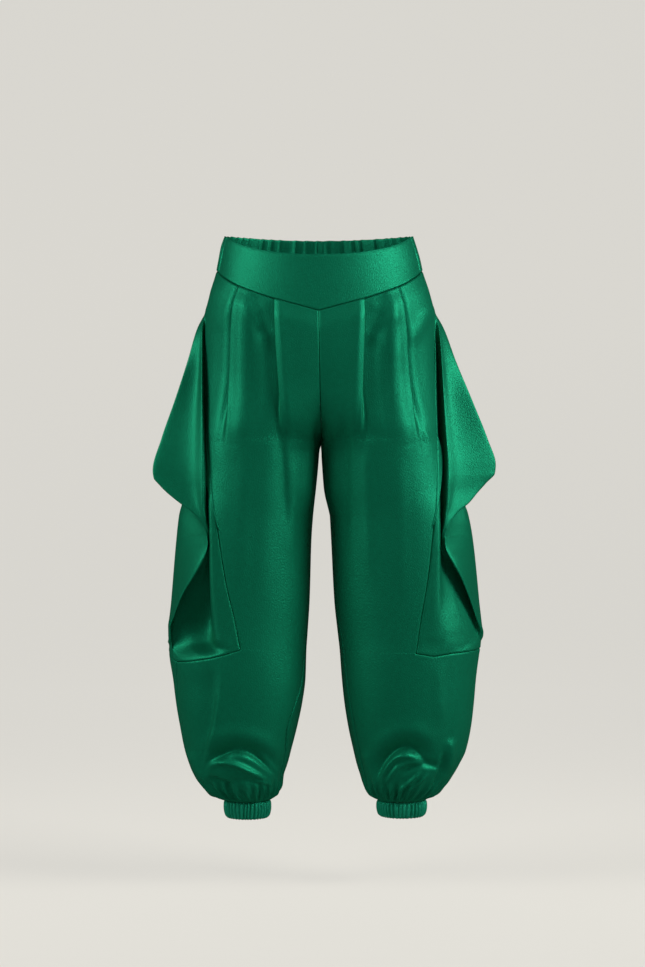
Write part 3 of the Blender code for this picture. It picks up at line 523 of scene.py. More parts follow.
# A leg panel from the angles and lifts of its rows above the knee. Below the knee it widens from the
# slanted seam to the side seam, which it reaches from the front with way 1 and from behind with way -1.
def makeLegPanel(panel, side, rows, angles, lifts, innerAngle, way):
    angles, lifts = closeEdges(angles, lifts, np.degrees(1 / legPanel["radius"]))
    level = rows[:, None]
    heights = hang(angles, level) - np.where(level == waistSide, seamGap / 2, 0)
    corner = (len(rows), angles.shape[1] - 1)
    lowerRows = rowHeights(kneeLevel, legEnd, legRows)
    lowerRows[0] -= seamGap / 2
    start, end = innerAngle(side, lowerRows), sideSeamAngle(side, lowerRows, way)
    kneeShares = (angles[-1] - start[0]) / (end[0] - start[0])
    reach = kneeShares[-1]
    middle = mix(legPanel["wrapShare"], reach, ease(legPanel["wrapFull"], kneeLevel, lowerRows))[:, None]
    wrap = np.append(np.linspace(0, 0.95, legPanel["wrapSteps"])[1:], legPanel["closeShares"])[None, :]
    spread = legPanel["spread"]
    spreadShares = kneeShares.copy()
    spreadShares[-spread:] = np.linspace(kneeShares[-spread], kneeShares[-1], spread)
    fallen = ease(kneeLevel, kneeLevel - legPanel["spreadReach"], lowerRows)[:, None]
    kneeShares = mix(kneeShares, spreadShares, fallen)
    shares = np.concatenate([kneeShares * middle / reach, mix(middle, 1.0, wrap)], axis=1)

    def joined(upper, filler, lower):
        return np.concatenate([np.append(upper, np.repeat(filler, wrap.shape[1], axis=1), axis=1), lower])

    angles = joined(angles, angles[:, -1:], mix(start[:, None], end[:, None], shares))
    heights = joined(heights, heights[:, -1:], np.repeat(lowerRows[:, None], shares.shape[1], axis=1))
    lifts = joined(lifts, np.zeros((len(rows), 1)), np.zeros(shares.shape))
    plain = plainForm(side, angles, heights)
    away = outward(side, angles, heights)
    fromFirst, fromCorner = rowDistances(plain, corner[1])
    _, fromLast = rowDistances(plain)
    upper = np.arange(len(heights))[:, None] < corner[0]
    column = np.arange(shares.shape[1])[None, :]
    below = np.maximum(kneeLevel - heights, 0)
    fromKnee = np.where(column > corner[1], below, np.hypot(below, fromCorner))
    fromSeam = np.minimum(fromFirst, np.where(upper, fromCorner, np.minimum(fromLast, fromKnee)))
    fromYoke = hang(angles, waistSide) - heights
    fromSeam = np.minimum(fromSeam, fromYoke)
    folds = foldRise(panel[sided("folds", side)], side * plain[..., 0], plain[..., 2])
    rise = lifts + folds + seamRelief(fromSeam)
    inseam = ease(crotchLevel, crotchLevel - 60, heights)
    rise -= seams["inseamPull"] * inseam * bell(fromFirst, seams["inseamWidth"])
    rise -= seams["yokePull"] * bell(fromYoke, seams["yokeWidth"]) * (angles > 0)
    low = np.arange(len(heights)) >= corner[0]
    rise[low] += bunchRise(side, plain[low], angles[low], heights[low])
    away[..., 2] *= ease(legEnd, legFoot, heights)
    away = unit(away)
    shift = away * rise[..., None]
    centred = ease(crotchLevel - legPanel["shutBelow"], crotchLevel, heights)
    shift[..., 0] *= mix(1.0, ease(0, legPanel["shutOut"], fromFirst), centred)
    return layCloth(panel["name"] + sideNames[side], plain + shift, away, panel["wall"], corner)


# Front panels: two pleats each under the yoke, whose pressed folds point to the side seam.
frontPanel = {
    "name": "front_panel_", "wall": 0.9,
    "pleatColumns": ("z", "innerRight", "outerRight", "innerLeft", "outerLeft"),
    "pleatRows": [
        (-80, 66, 118, 69, 118),
        (-140, 65, 129, 69, 129.5),
        (-200, 63, 134.5, 68.5, 136.5),
        (-260, 59.5, 138.5, 68, 143.5),
        (-310, 56, 143, 67, 152),
        (-350, 53, 146, 67, 160),
    ],
    "pleatEnd": -362, "tuckEnd": -322, "tuckFrom": -215, "sewnRise": 0.55, "puff": 4.2,
    "rise": {right: (7.5, 8.5), left: (7.5, 8.5)},
    # Across a fold from the centre to the side: its place while it is tucked under, its place where it has
    # opened, and its share of the rise. The cloth crests, falls to the pressed edge and is folded under it.
    "innerProfile": [(-30, -30, 0.66), (-21, -21, 0.86), (-13, -14, 1.0), (-5, -6, 0.78), (0, -0.5, 0.46),
                     (-2.0, 1.6, 0.08), (-3.0, 4.5, -0.34), (4, 12, -0.34), (24, 33, -0.04)],
    "outerProfile": [(-44, -44, 0.36), (-34, -34, 0.82), (-25, -25, 1.0), (-10, -11, 0.76), (0, -0.5, 0.50),
                     (-2.0, 1.6, 0.14), (-3.2, 4.5, -0.32), (10, 16, 0.05), (28, 34, 0.0)],
    "profileSteps": (4, 4, 5, 5, 3, 3, 4, 6),
}
frontPanel["foldsRight"] = [
    (104, -112, 90, -150, 74, -200, 9, 9, 3.2),
    (90, -124, 84, -144, 78, -168, 9, 8, -2.2),
    (124, -104, 141, -128, 158, -160, 10, 10, 1.2),
    (60.6, -235, 53, -340, 49, -480, 5, 13, -2.8),
    (42, -320, 40.6, -417, 44, -530, 8, 9, 2.0),
    (113, -325, 116, -448, 121, -575, 13, 13, 1.8),
    (78, -360, 84, -470, 88, -600, 16, 16, 1.4),
    (14, -285, 13, -350, 24, -455, 8, 15, 8.0),
    (155, -660, 147, -742, 184, -848, 9, 5, 2.4),
    (163, -664, 155, -744, 192, -846, 5, 24, -4.2),
]
frontPanel["foldsLeft"] = [
    (118, -122, 98, -150, 78, -188, 9, 9, 3.2),
    (88, -120, 86, -140, 80, -168, 9, 8, -1.5),
    (178, -108, 158, -140, 134, -182, 11, 11, 2.4),
    (112, -160, 110, -217, 100, -285, 12, 12, 2.0),
    (42.6, -255, 41, -371, 39, -520, 9, 9, -3.0),
    (73.4, -300, 73, -417, 80, -560, 9, 10, 2.2),
    (126, -325, 123, -448, 132, -587, 12, 12, 1.6),
    (157, -300, 162, -314, 176, -328, 5, 5, 2.0),
    (14, -285, 13, -350, 24, -455, 8, 15, 8.0),
    (188, -662, 188, -712, 193, -772, 11, 5, 2.0),
]


def makeFront(side):
    rows = rowHeights(waistSide, kneeLevel, legRows)[:-1]
    pleatZ = np.maximum(rows, frontPanel["pleatEnd"])
    profiles = frontPanel["innerProfile"], frontPanel["outerProfile"]

    def keyPlaces(z):
        start, slant = innerReach(side, z), slantReach(side, z)
        tucked = ease(frontPanel["tuckEnd"], frontPanel["tuckFrom"], z)
        folds = [readTable(frontPanel["pleatColumns"], frontPanel["pleatRows"], sided(name, side), z)
                 for name in ("inner", "outer")]
        room = np.clip((folds[1] - folds[0]) / 90, 0.5, 1.0)
        inner, outer = [[fold + mix(opened, tuckedAt, tucked) * room for tuckedAt, opened, _ in profile]
                        for fold, profile in zip(folds, profiles)]
        places = [start, mix(start, inner[0], 0.5)] + inner + [mix(inner[-1], outer[0], 0.5)] + outer
        return places + [mix(outer[-1], slant, 0.5), slant]

    count = len(keyPlaces(rows[:1]))
    steps = (6, 5) + frontPanel["profileSteps"] + (4, 4) + frontPanel["profileSteps"] + (4, 7)
    even = np.concatenate([[0], np.cumsum(steps)]) / sum(steps)
    innerShares, outerShares = [[share for _, _, share in profile] for profile in profiles]
    shares = [0.0, 0.32] + innerShares + [0.08] + outerShares + [0.0, 0.0]
    keyAngles, keyLifts = [], []
    for k in range(count):
        def keyAngle(z, k=k):
            pleated = np.maximum(z, frontPanel["pleatEnd"])
            start, end = frontInnerAngle(side, z), slantAngle(side, z) + halfGap(side, z)
            if k == 0:
                return start
            if k == count - 1:
                return end
            top, bottom = frontInnerAngle(side, pleated), slantAngle(side, pleated)
            share = (angleAt(side, keyPlaces(pleated)[k], pleated) - top) / (bottom - top)
            share = mix(even[k], share, ease(-620, -330, z))
            return mix(start, end, share)
        angle = settle(keyAngle, rows)
        height = hang(angle, rows)
        fold = 0 if k <= len(innerShares) + 1 else 1
        top = hang(angle, waistSide)
        sewn = mix(frontPanel["sewnRise"], 1.0, ease(0, 28, top - height))
        rise = frontPanel["rise"][side][fold] * sewn * ease(frontPanel["pleatEnd"], -245, height)
        puff = frontPanel["puff"] * ease(-6, 30, top - height) * ease(150, 26, top - height)
        puff = puff + yoke["flare"] * flareShare(angle) * ease(150, 0, top - height)
        keyAngles.append(angle)
        keyLifts.append(rise * shares[k] + puff)
    keys = np.stack([np.array(keyAngles) * 3.0, np.array(keyLifts)], axis=-1)
    curve = curveThrough(keys, steps)
    angles, lifts = curve[..., 0].T / 3.0, curve[..., 1].T
    return makeLegPanel(frontPanel, side, rows, angles, lifts, frontInnerAngle, 1)


# Back panels: gathered under the elastic band, with a few soft folds over the seat and behind the knee.
backPanel = {
    "name": "back_panel_", "wall": 0.9, "columns": 84,
    "gathers": 15, "gatherRise": 1.7, "gatherEnd": 120,
}
backPanel["foldsRight"] = [
    (12, -330, 60, -318, 118, -352, 9, 9, 2.6),
    (14, -352, 52, -352, 96, -392, 8, 8, 1.8),
    (70, -150, 62, -240, 56, -330, 12, 12, 1.8),
    (128, -140, 132, -230, 126, -320, 12, 12, 1.6),
    (56, -420, 64, -520, 60, -610, 12, 12, 2.2),
    (108, -420, 112, -520, 104, -600, 14, 14, 1.8),
    (30, -640, 74, -622, 116, -650, 9, 9, 2.2),
    (46, -700, 96, -684, 150, -706, 10, 10, 2.2),
    (70, -740, 120, -728, 180, -748, 10, 10, 1.6),
]
backPanel["foldsLeft"] = [
    (12, -334, 56, -322, 110, -350, 9, 9, 2.6),
    (16, -356, 60, -350, 104, -398, 8, 8, 1.8),
    (66, -150, 70, -240, 60, -330, 12, 12, 1.8),
    (124, -140, 136, -230, 140, -330, 12, 12, 1.6),
    (70, -430, 76, -530, 84, -620, 12, 12, 2.2),
    (124, -420, 132, -520, 136, -600, 14, 14, 1.8),
    (48, -650, 92, -630, 134, -654, 9, 9, 2.2),
    (60, -706, 112, -690, 166, -716, 10, 10, 2.2),
    (84, -744, 140, -730, 196, -750, 10, 10, 1.6),
]


def makeBack(side):
    rows = rowHeights(waistSide, kneeLevel, legRows)[:-1]

    def edge(s, z):
        return -slantAngle(s, z) - halfGap(s, z)

    angles = []
    for k in range(backPanel["columns"] + 1):
        share = k / backPanel["columns"]
        angles.append(settle(lambda z: mix(backInnerAngle(side, z), edge(side, z), share), rows))
    angles = np.array(angles).T
    heights = hang(angles, rows[:, None])
    drop = hang(angles, waistSide) - heights
    phase = np.radians(angles) * backPanel["gathers"] * 2
    wave = np.cos(phase + 0.8 * np.sin(phase * 0.31 + side) + 0.004 * drop * np.sin(phase * 0.5))
    uneven = 0.65 + 0.35 * np.sin(phase * 0.23 + 2 * side)
    reach = backPanel["gatherEnd"] * (0.75 + 0.25 * np.sin(phase * 0.37 + side))
    lifts = backPanel["gatherRise"] * wave * uneven * (1 - ease(0, 1, drop / reach)) * ease(0, 3, drop + 1)
    return makeLegPanel(backPanel, side, rows, angles, lifts, backInnerAngle, -1)


# Side drapes: a wide panel that cascades outward between hip and knee. Each row gives, outward and in
# depth: the soft fold that ends its flat strip beside the front panel, the groove behind that, the ridge,
# the outward turn, the inward turn, and the depth of the layer behind at the side.
sideDrape = {
    "wall": 0.9,
    "columns": ("z", "strip", "stripY", "groove", "grooveY", "ridge", "ridgeY",
                "outTurn", "outTurnY", "inTurn", "inTurnY", "hipY"),
    "shares": (0.0, 0.06, 0.15, 0.27, 0.31, 0.46, 0.60, 0.74, 0.87, 1.0),
    "steps": (8, 8, 14, 9, 18, 24, 18, 12, 10),
    "rounding": {right: (1, 1, 1, 0.9, 1, 0.4, 1, 1, 1, 1), left: (1, 1, 1, 0.6, 1, 0.4, 1, 1, 1, 1)},
    "shoulder": 0.2, "roll": {right: 7.5, left: 4.0}, "turnAt": -474, "turnReach": 34,
    "rowSpacing": [(waistSide, 1.0), (-60, 1.8), (-66, 4.0), (-340, 4.5), (-360, 2.4), (-510, 2.4),
                   (-560, 4.0), (-640, 3.5), (-650, 1.8), (kneeLevel, 0.9)],
    "freeFrom": -106, "freeBelow": -130, "heldFrom": -634,
}
sideDrape["rowsRight"] = [
    (-122, 175.5, -27, 178, -22, 180, -14, 180.5, -4, 180, 8, 20),
    (-148, 178, -30, 179.5, -24, 183.5, -31, 192, -20, 187, 7, 26),
    (-196, 179, -35, 178.8, -24, 183, -46, 205, -32, 190, 7, 30),
    (-260, 178.8, -43, 178, -28, 182, -63, 225, -43, 192.5, 9, 33),
    (-323, 175.6, -63, 175.5, -44, 180, -80, 246, -55, 196, 6, 33),
    (-371, 170.5, -76, 172.5, -56, 178.5, -88, 258.5, -65, 203, -2, 30),
    (-383, 169.5, -79, 171.5, -58, 178.5, -89, 257, -67, 205, -7, 28),
    (-394, 169, -82, 171, -60, 178.5, -90, 248, -70, 206, -13, 24),
    (-405, 168.5, -85, 170.5, -62, 179, -90.5, 237, -73, 205, -24, 18),
    (-423, 168, -89, 170, -66, 180, -90, 214.5, -77, 200, -40, 6),
    (-437, 167.5, -91, 169.5, -68, 179, -89.5, 195, -81, 189, -53, 0),
    (-452, 167, -92.5, 169, -70, 175.5, -88, 182, -84, 180, -65, 0),
    (-462, 166.8, -93, 168.8, -71, 172.5, -86, 176.5, -84.5, 176, -73, 0),
    (-470, 166.6, -94, 168.8, -71, 171, -82, 173.3, -83.5, 174, -80, 0),
    (-477, 166.5, -94, 168.6, -71, 170.3, -77, 171.5, -81, 172.6, -84, 0),
    (-484, 166.3, -94.5, 168.6, -70, 170.3, -72, 171.6, -76, 171.8, -87, 0),
    (-492, 166, -95, 168.8, -67, 170.8, -65, 173.5, -70, 172.8, -88.5, 0),
    (-505, 165.5, -95, 169.2, -62, 172.8, -57, 179.5, -60, 176, -89, 0),
    (-524, 165, -95, 170, -57, 178, -49, 192, -48, 185.5, -84, 0),
    (-568, 163, -94, 171, -43, 190, -40, 216, -39, 213, -62, 0),
    (-600, 160, -93, 170.5, -39, 196, -38, 226, -41, 226, -51, 0),
    (-616, 158.5, -93, 169.8, -42, 199, -40, 229, -41, 231, -47, 0),
    (-632, 157, -93, 169.2, -54, 202, -46, 230, -36, 231, -42, 0),
    (-655, 156, -92, 168, -80, 205, -62, 228, -34, 234, -22, 0),
]
sideDrape["rowsLeft"] = [
    (-122, 180, -27, 183.5, -22, 185.5, -14, 186, -4, 185, 8, 20),
    (-148, 183, -31, 185, -25.5, 190.5, -28, 199.5, -12, 193, 8, 26),
    (-196, 184.5, -34, 186, -23, 194, -37, 217, -14, 196, 10, 30),
    (-260, 186, -39, 187.5, -26, 197, -45, 242.7, -24, 199, 14, 33),
    (-323, 187, -54, 188.5, -37, 200, -58, 267.5, -28, 205, 13, 33),
    (-362, 187, -66, 189, -48, 202, -68, 279.5, -31, 213, 8, 30),
    (-376, 187, -70, 189, -52, 202, -71, 278, -33, 217, 5, 28),
    (-390, 187, -74, 189, -55, 202, -74, 265, -38, 220, -2, 24),
    (-405, 187, -79, 189, -58, 202, -76, 251, -45, 220, -12, 18),
    (-423, 187, -84, 189.5, -62, 201, -79, 235, -56, 213, -32, 6),
    (-437, 187, -86, 189.5, -65, 199, -81, 217, -68, 206, -47, 0),
    (-452, 187, -88, 190, -67, 197, -82.5, 204.5, -78, 201, -60, 0),
    (-462, 187, -89, 190, -68, 194.5, -82.5, 199.5, -81, 199, -70, 0),
    (-470, 187, -89.5, 190, -69, 193, -81, 196.5, -81, 197.5, -76.5, 0),
    (-478, 187, -90, 190, -69.5, 192.2, -78, 195, -79.5, 196.8, -81, 0),
    (-490, 187, -91, 190.2, -69, 192.4, -71, 196, -74, 197.5, -85, 0),
    (-506, 187, -91, 191, -70, 196, -62, 206, -60, 203.5, -84, 0),
    (-541, 187, -91, 193, -80, 204, -66, 225, -44, 222.6, -71, 0),
    (-579, 187.5, -91, 194, -84, 214, -66, 239.5, -34, 238.6, -54, 0),
    (-605, 188, -91, 195, -87, 224, -62, 246, -33, 247.5, -42, 0),
    (-625, 188.5, -91, 196, -88, 234, -54, 250.5, -31, 254, -32, 0),
    (-641, 189, -90, 196, -88, 240, -48, 252.5, -28, 257.5, -22, 0),
    (-655, 189, -90, 196, -88, 243, -45, 253, -24, 257, -16, 0),
]


def makeDrape(side):
    rows = rowHeights(waistSide, kneeLevel, sideDrape["rowSpacing"])
    seam = float(seamAt("side", side, kneeLevel))
    start = settle(lambda z: slantAngle(side, z) - halfGap(side, z), rows)
    end = settle(lambda z: halfGap(side, z) - slantAngle(side, z), rows)
    table = sideDrape[sided("rows", side)]

    def column(name):
        return readTable(sideDrape["columns"], table, name, rows)

    def onSkin(angle):
        return plainForm(side, angle, hang(angle, rows))

    def foldPoint(name):
        return np.stack([side * column(name), column(name + "Y"), rows], axis=-1)

    hipAngle = -np.degrees(column("hipY") / legSection(side, rows)[3])
    ridge, outTurn = foldPoint("ridge"), foldPoint("outTurn")
    shoulder = mix(ridge, outTurn, sideDrape["shoulder"])
    shoulder[:, 1] += sideDrape["roll"][side] * ease(-150, -240, rows) * ease(-450, -395, rows)
    keys = [onSkin(start), foldPoint("strip"), foldPoint("groove"), ridge, shoulder, outTurn,
            foldPoint("inTurn"), plainForm(side, hipAngle, rows), onSkin(mix(hipAngle, end, 0.5)),
            onSkin(end)]
    steps = sideDrape["steps"]
    keys = np.array(keys)
    directions = headings(keys) * np.reshape(sideDrape["rounding"][side], (-1, 1, 1))
    turning = 0.9 * bell(rows - sideDrape["turnAt"], sideDrape["turnReach"])[:, None]
    directions[6] = mix(directions[6], unit(keys[7] - keys[6]), turning)
    directions[5] = mix(directions[5], unit(keys[6] - keys[4]), turning)
    folded = curveThrough(keys, steps, directions).transpose(1, 0, 2)
    marks = np.concatenate([[0], np.cumsum(steps)])
    share = np.interp(np.arange(marks[-1] + 1), marks, sideDrape["shares"])
    front = np.minimum(2 * share, 1)[None, :]
    behind = np.maximum(2 * share - 1, 0)[None, :]
    stepped = mix(mix(start[:, None], seam, front), end[:, None], behind)
    spread = mix(start[:, None], end[:, None], share[None, :])
    angles = mix(spread, stepped, ease(-560, kneeLevel, rows)[:, None])
    heights = hang(angles, rows[:, None])
    heights[0] -= seamGap / 2
    heights[-1] += seamGap / 2
    plain = plainForm(side, angles, heights)
    away = outward(side, angles, heights)
    free = ease(sideDrape["freeFrom"], sideDrape["freeBelow"], rows)
    free = (free * ease(kneeLevel, sideDrape["heldFrom"], rows))[:, None, None]
    folded[..., 2] = plain[..., 2]
    points = mix(plain, folded, free)
    fromFirst, fromLast = rowDistances(points)
    fromSeam = np.minimum(np.minimum(fromFirst, fromLast), heights[:1] - heights)
    fromSeam = np.minimum(fromSeam, heights - heights[-1:])
    points = points + away * seamRelief(fromSeam)[..., None]
    return layCloth("side_drape_" + sideNames[side], points, away, sideDrape["wall"])


# Points and outward directions of a waistband from its rim down to its seam.
def bandForm(side, angle, rim, down):
    heights = mix(rim, hang(angle, waistSide) + seamGap / 2, down[:, None])
    return bothHalves(plainForm, side, angle, heights), bothHalves(outward, side, angle, heights)


# Front yoke: doubled satin with a dipped, turned rim and a V seam below.
yoke = {"wall": 1.8, "dip": 45.0, "dipPower": 1.2, "corner": -2.4, "flare": 5.5, "sideSeam": 15.0,
        "columns": 90, "rows": 26, "crowding": 0.11, "crown": 0.7, "rimRoll": 0.9, "rimWidth": 2.4}


def makeYoke():
    share = np.linspace(0, 1, yoke["columns"] + 1)
    cloth = np.concatenate([-share[::-1], share[1:]])
    side = np.where(cloth < 0, right, left)
    angle = mix(90.0, yoke["sideSeam"], np.abs(cloth))
    atSide = np.sin(radians(yoke["sideSeam"])) ** yoke["dipPower"]
    rim = yoke["dip"] * (atSide - np.sin(np.radians(angle)) ** yoke["dipPower"]) + yoke["corner"]
    down = np.linspace(0, 1, yoke["rows"] + 1)
    down = down - yoke["crowding"] * np.sin(2 * pi * down)
    points, away = bandForm(side, angle, rim, down)
    drop = np.linalg.norm(points - points[:1], axis=-1)
    climb = np.linalg.norm(points - points[-1:], axis=-1)
    across, back = rowDistances(points)
    rise = yoke["crown"] * np.sin(pi * down)[:, None] + seamRelief(climb)
    rise = rise + seamRelief(np.minimum(across, back)) - yoke["rimRoll"] * bell(drop, yoke["rimWidth"])
    flare = yoke["flare"] * flareShare(angle) * down[:, None] ** 2
    rise += flare - seams["yokePull"] * bell(climb, seams["yokeWidth"])
    return layCloth("front_yoke", points + away * rise[..., None], away, yoke["wall"])


# Back band: satin gathered over wide elastic, wavy on both faces, which shows inside above the yoke's rim.
backBand = {"wall": 1.2, "rise": 8.0, "rim": (0.5, 14.5, -9.2), "gathers": 27, "waveRise": 1.7,
            "bulge": 1.2, "columnsPerGather": 12, "rows": 22, "radius": 140, "halfLength": 320,
            "height": 54, "rimWave": 0.35, "rimWidth": 3.0, "endPull": 1.6, "endWidth": 2.2}


def makeBackBand():
    count = backBand["gathers"] * backBand["columnsPerGather"] // 2
    cloth = np.arange(-count, count + 1) / count
    side = np.where(cloth < 0, right, left)
    start = yoke["sideSeam"] - degrees(seamGap / backBand["radius"])
    angle = mix(-90.0, start, np.abs(cloth))
    behind = np.maximum(0.0, -np.sin(np.radians(angle)))
    level, slope, bend = backBand["rim"]
    rim = level + slope * behind + bend * behind ** 2
    rim = rim + (yoke["corner"] - level) * ease(0, yoke["sideSeam"], angle)
    down = np.linspace(0, 1, backBand["rows"] + 1)
    points, away = bandForm(side, angle, rim, down)
    down = down[:, None]
    phase = cloth * pi * backBand["gathers"]
    wander = 1.1 * np.sin(phase * 0.29 + 1) + 0.6 * np.sin(phase * 0.61)
    lean = 0.5 * np.sin(phase * 0.17 + 2) * (down - 0.5)
    wave = np.cos(phase + wander + lean) + 0.35 * np.cos(2 * (phase + wander) + 1.0)
    depth = 0.7 + 0.3 * np.sin(phase * 0.41 + 0.5)
    held = mix(0.45, 0.2, down) + 0.55 * np.sin(pi * down) ** 0.8
    fade = ease(1.0, 0.93, np.abs(cloth))
    rise = backBand["waveRise"] * wave * depth * held * fade
    fromEnd = (1 - np.abs(cloth)) * backBand["halfLength"]
    low = np.clip(down * 1.25 - 0.25, 0, 1)
    bulge = ease(0, 5, fromEnd) * ease(28, 8, fromEnd) * np.sin(pi * low)
    rise = rise + seamRelief(np.linalg.norm(points - points[-1:], axis=-1))
    rise = rise + backBand["bulge"] * bulge - backBand["endPull"] * bell(fromEnd, backBand["endWidth"])
    points = points + away * rise[..., None]
    rimRow = bell(down * backBand["height"], backBand["rimWidth"])
    points[..., 2] += backBand["rimWave"] * wave * rimRow * fade
    return layCloth("back_band", points, away, backBand["wall"])


# Cuffs: satin gathered over narrow elastic into ribs, with a turned lower edge.
cuff = {
    "wall": 1.2, "top": -894.6, "ribs": 38, "ribRise": 2.8, "bulge": 1.4, "taper": 3.0,
    "columnsPerRib": 9, "rows": 26, "topEdge": 0.05, "lowEdge": 0.07, "lowWave": 0.12,
    "middle": {right: 112.9, left: 132.3}, "half": {right: 35.6, left: 37.4},
    "height": {right: 27.0, left: 25.0},
}


def makeCuff(side):
    count = cuff["ribs"] * cuff["columnsPerRib"]
    turn = np.linspace(0, 2 * pi, count + 1)
    down = np.linspace(0, 1, cuff["rows"] + 1)[:, None]
    wander = 0.5 * np.sin(3 * turn + side) + 0.35 * np.sin(8 * turn) + 0.25 * np.sin(13 * turn + 2)
    lean = 0.7 * np.sin(4 * turn + side) * (down - 0.5)
    phase = cuff["ribs"] / 2 * turn + wander + lean
    rib = 1.5 * np.abs(np.cos(phase)) ** 0.75 - 0.75
    depth = 0.8 + 0.2 * np.sin(6 * turn + side)
    bulge = cuff["bulge"] * np.sin(pi * down) ** 0.7
    edge = bell(1 - down, cuff["lowEdge"]) + 0.8 * bell(down, cuff["topEdge"])
    radius = cuff["half"][side] + bulge - cuff["taper"] * down ** 3
    radius = radius + cuff["ribRise"] * rib * depth * (1 - 0.7 * edge) - 0.8 * edge
    z = cuff["top"] - cuff["height"][side] * down - 0.55 * rib * bell(1 - down, cuff["lowWave"])
    ray = np.stack([side * np.cos(turn), np.sin(turn), turn * 0], axis=-1)[None, :, :]
    points = ray * radius[..., None]
    points[..., 0] += side * cuff["middle"][side]
    points[..., 2] = z
    points[:, -1] = points[:, 0]
    away = np.broadcast_to(ray, points.shape)
    return layCloth("ribbed_cuff_" + sideNames[side], points, away, cuff["wall"], ring=True)


# sRGB hex to linear colour.
def linear(hexColour):
    values = [int(hexColour[k:k + 2], 16) / 255 for k in (1, 3, 5)]
    return [v / 12.92 if v <= 0.04045 else ((v + 0.055) / 1.055) ** 2.4 for v in values] + [1.0]


# Gives a node's inputs their values, or links them where the value is a socket.
def setInputs(tree, node, inputs):
    for name, value in inputs.items():
        if isinstance(value, bpy.types.NodeSocket):
            tree.links.new(value, node.inputs[name])
        else:
            node.inputs[name].default_value = value


def addNode(tree, kind, settings, inputs):
    node = tree.nodes.new(kind)
    for name, value in settings.items():
        setattr(node, name, value)
    setInputs(tree, node, inputs)
    return node


def newMaterial(name):
    material = bpy.data.materials.new(name)
    material.use_nodes = True
    return material, material.node_tree, material.node_tree.nodes["Principled BSDF"]


# Duchess satin, heavy polyester woven with long warp floats: a broad soft gloss tinted by the dye, a fine
# vertical grain in the highlights and dark folds. The threads are 0.1 mm and drawn at 1.8 mm to show.
satin = {
    "roughness": 0.45, "metallic": 0.52, "specular": 0.22, "tint": "#3FD8A8", "grainMm": 1.8,
    "grainStretch": 1.5, "grainBump": 0.00045, "slubMm": 9.0,
    # The satin over the cuff elastic is the same cloth, painted lighter than the panels: painted light for
    # the brighter look of the gathered cuffs.
    "panel": ("#0D7153", "#0B694C"), "drape": ("#0D6F51", "#0B674A"), "elastic": ("#1A9072", "#148262"),
}


def makeSatin(name, colours):
    material, tree, shader = newMaterial(name)
    weave = addNode(tree, "ShaderNodeUVMap", {"uv_map": "weave"}, {})
    grainScale = 1 / (satin["grainMm"] * mm)
    stretched = addNode(tree, "ShaderNodeMapping", {}, {
        "Vector": weave.outputs["UV"], "Scale": (grainScale, grainScale / satin["grainStretch"], 1)})
    grain = addNode(tree, "ShaderNodeTexNoise", {"noise_dimensions": "2D"}, {
        "Vector": stretched.outputs["Vector"], "Scale": 1.0, "Detail": 2.0, "Roughness": 0.6})
    slubs = addNode(tree, "ShaderNodeTexNoise", {"noise_dimensions": "2D"}, {
        "Vector": weave.outputs["UV"], "Scale": 1 / (satin["slubMm"] * mm), "Detail": 3.0})
    tone = addNode(tree, "ShaderNodeMix", {"data_type": "RGBA"}, {
        "Factor": slubs.outputs["Fac"], 6: linear(colours[0]), 7: linear(colours[1])})
    gloss = addNode(tree, "ShaderNodeMapRange", {}, {
        "Value": grain.outputs["Fac"], "From Min": 0.25, "From Max": 0.75,
        "To Min": satin["roughness"] - 0.05, "To Max": satin["roughness"] + 0.05})
    bump = addNode(tree, "ShaderNodeBump", {}, {
        "Height": grain.outputs["Fac"], "Strength": 1.0, "Distance": satin["grainBump"]})
    setInputs(tree, shader, {
        "Base Color": tone.outputs[2], "Roughness": gloss.outputs["Result"],
        "Normal": bump.outputs["Normal"], "Metallic": satin["metallic"],
        "Specular IOR Level": satin["specular"], "Specular Tint": linear(satin["tint"])})
    return material


panelSatin = makeSatin("emerald_duchess_satin", satin["panel"])
drapeSatin = makeSatin("emerald_duchess_satin_drape", satin["drape"])
# Cuff satin: the panel satin painted lighter, as painted light on the gathered cuffs.
cuffSatinPaintedLighter = makeSatin("emerald_cuff_satin_painted_lighter", satin["elastic"])


# Each finished piece: its mesh, the solid that it replaces and its finish.
def fit(piece, node, material):
    piece.data.materials.append(material)
    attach(piece, "root")
    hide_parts(node)


fit(makeYoke(), "waistband_front", panelSatin)
fit(makeBackBand(), "waistband_back", panelSatin)
for side in (right, left):
    name = sideNames[side]
    fit(makeFront(side), "front_" + name, panelSatin)
    fit(makeBack(side), "back_" + name, panelSatin)
    fit(makeDrape(side), "drape_" + name, drapeSatin)
    fit(makeCuff(side), "cuff_" + name, cuffSatinPaintedLighter)
print("pieces fitted")

# Studio: a pale floor that sweeps up into the backdrop, two large soft side lights, a top light, a light
# for the paper alone and a camera at the height of the thighs.
studio = {
    "paper": "#77756F", "glow": ("#E9E7E1", 0.75), "floor": -1.03,
    "front": 4.5, "depth": 4.4, "height": 4.0, "sweep": 1.2, "width": 7.0,
    "cameraAt": (0.0064, -3.4, -0.3919), "lens": 79.6,
    "room": ("#E4E2DC", 0.06), "roomSeen": ("#E1E0DA", 1.0),
    "lights": [
        ("left_softbox", (-2.75, -1.1, 1.1), (0, 0, -0.12), (1.6, 2.2), 19, "#FFFDF8", 80),
        ("right_softbox", (2.75, -1.15, 1.15), (0, 0, -0.12), (1.6, 2.2), 29, "#FFFDF8", 80),
        ("top_softbox", (0, -1.5, 2.4), (0, 0, -0.5), (2.4, 1.4), 5, "#FFFDFA", 180),
        ("paper_light", (0, 1.6, 2.6), (0, 4.4, 0.6), (5.0, 0.8), 16, "#FFFFFF", 120),
    ],
}


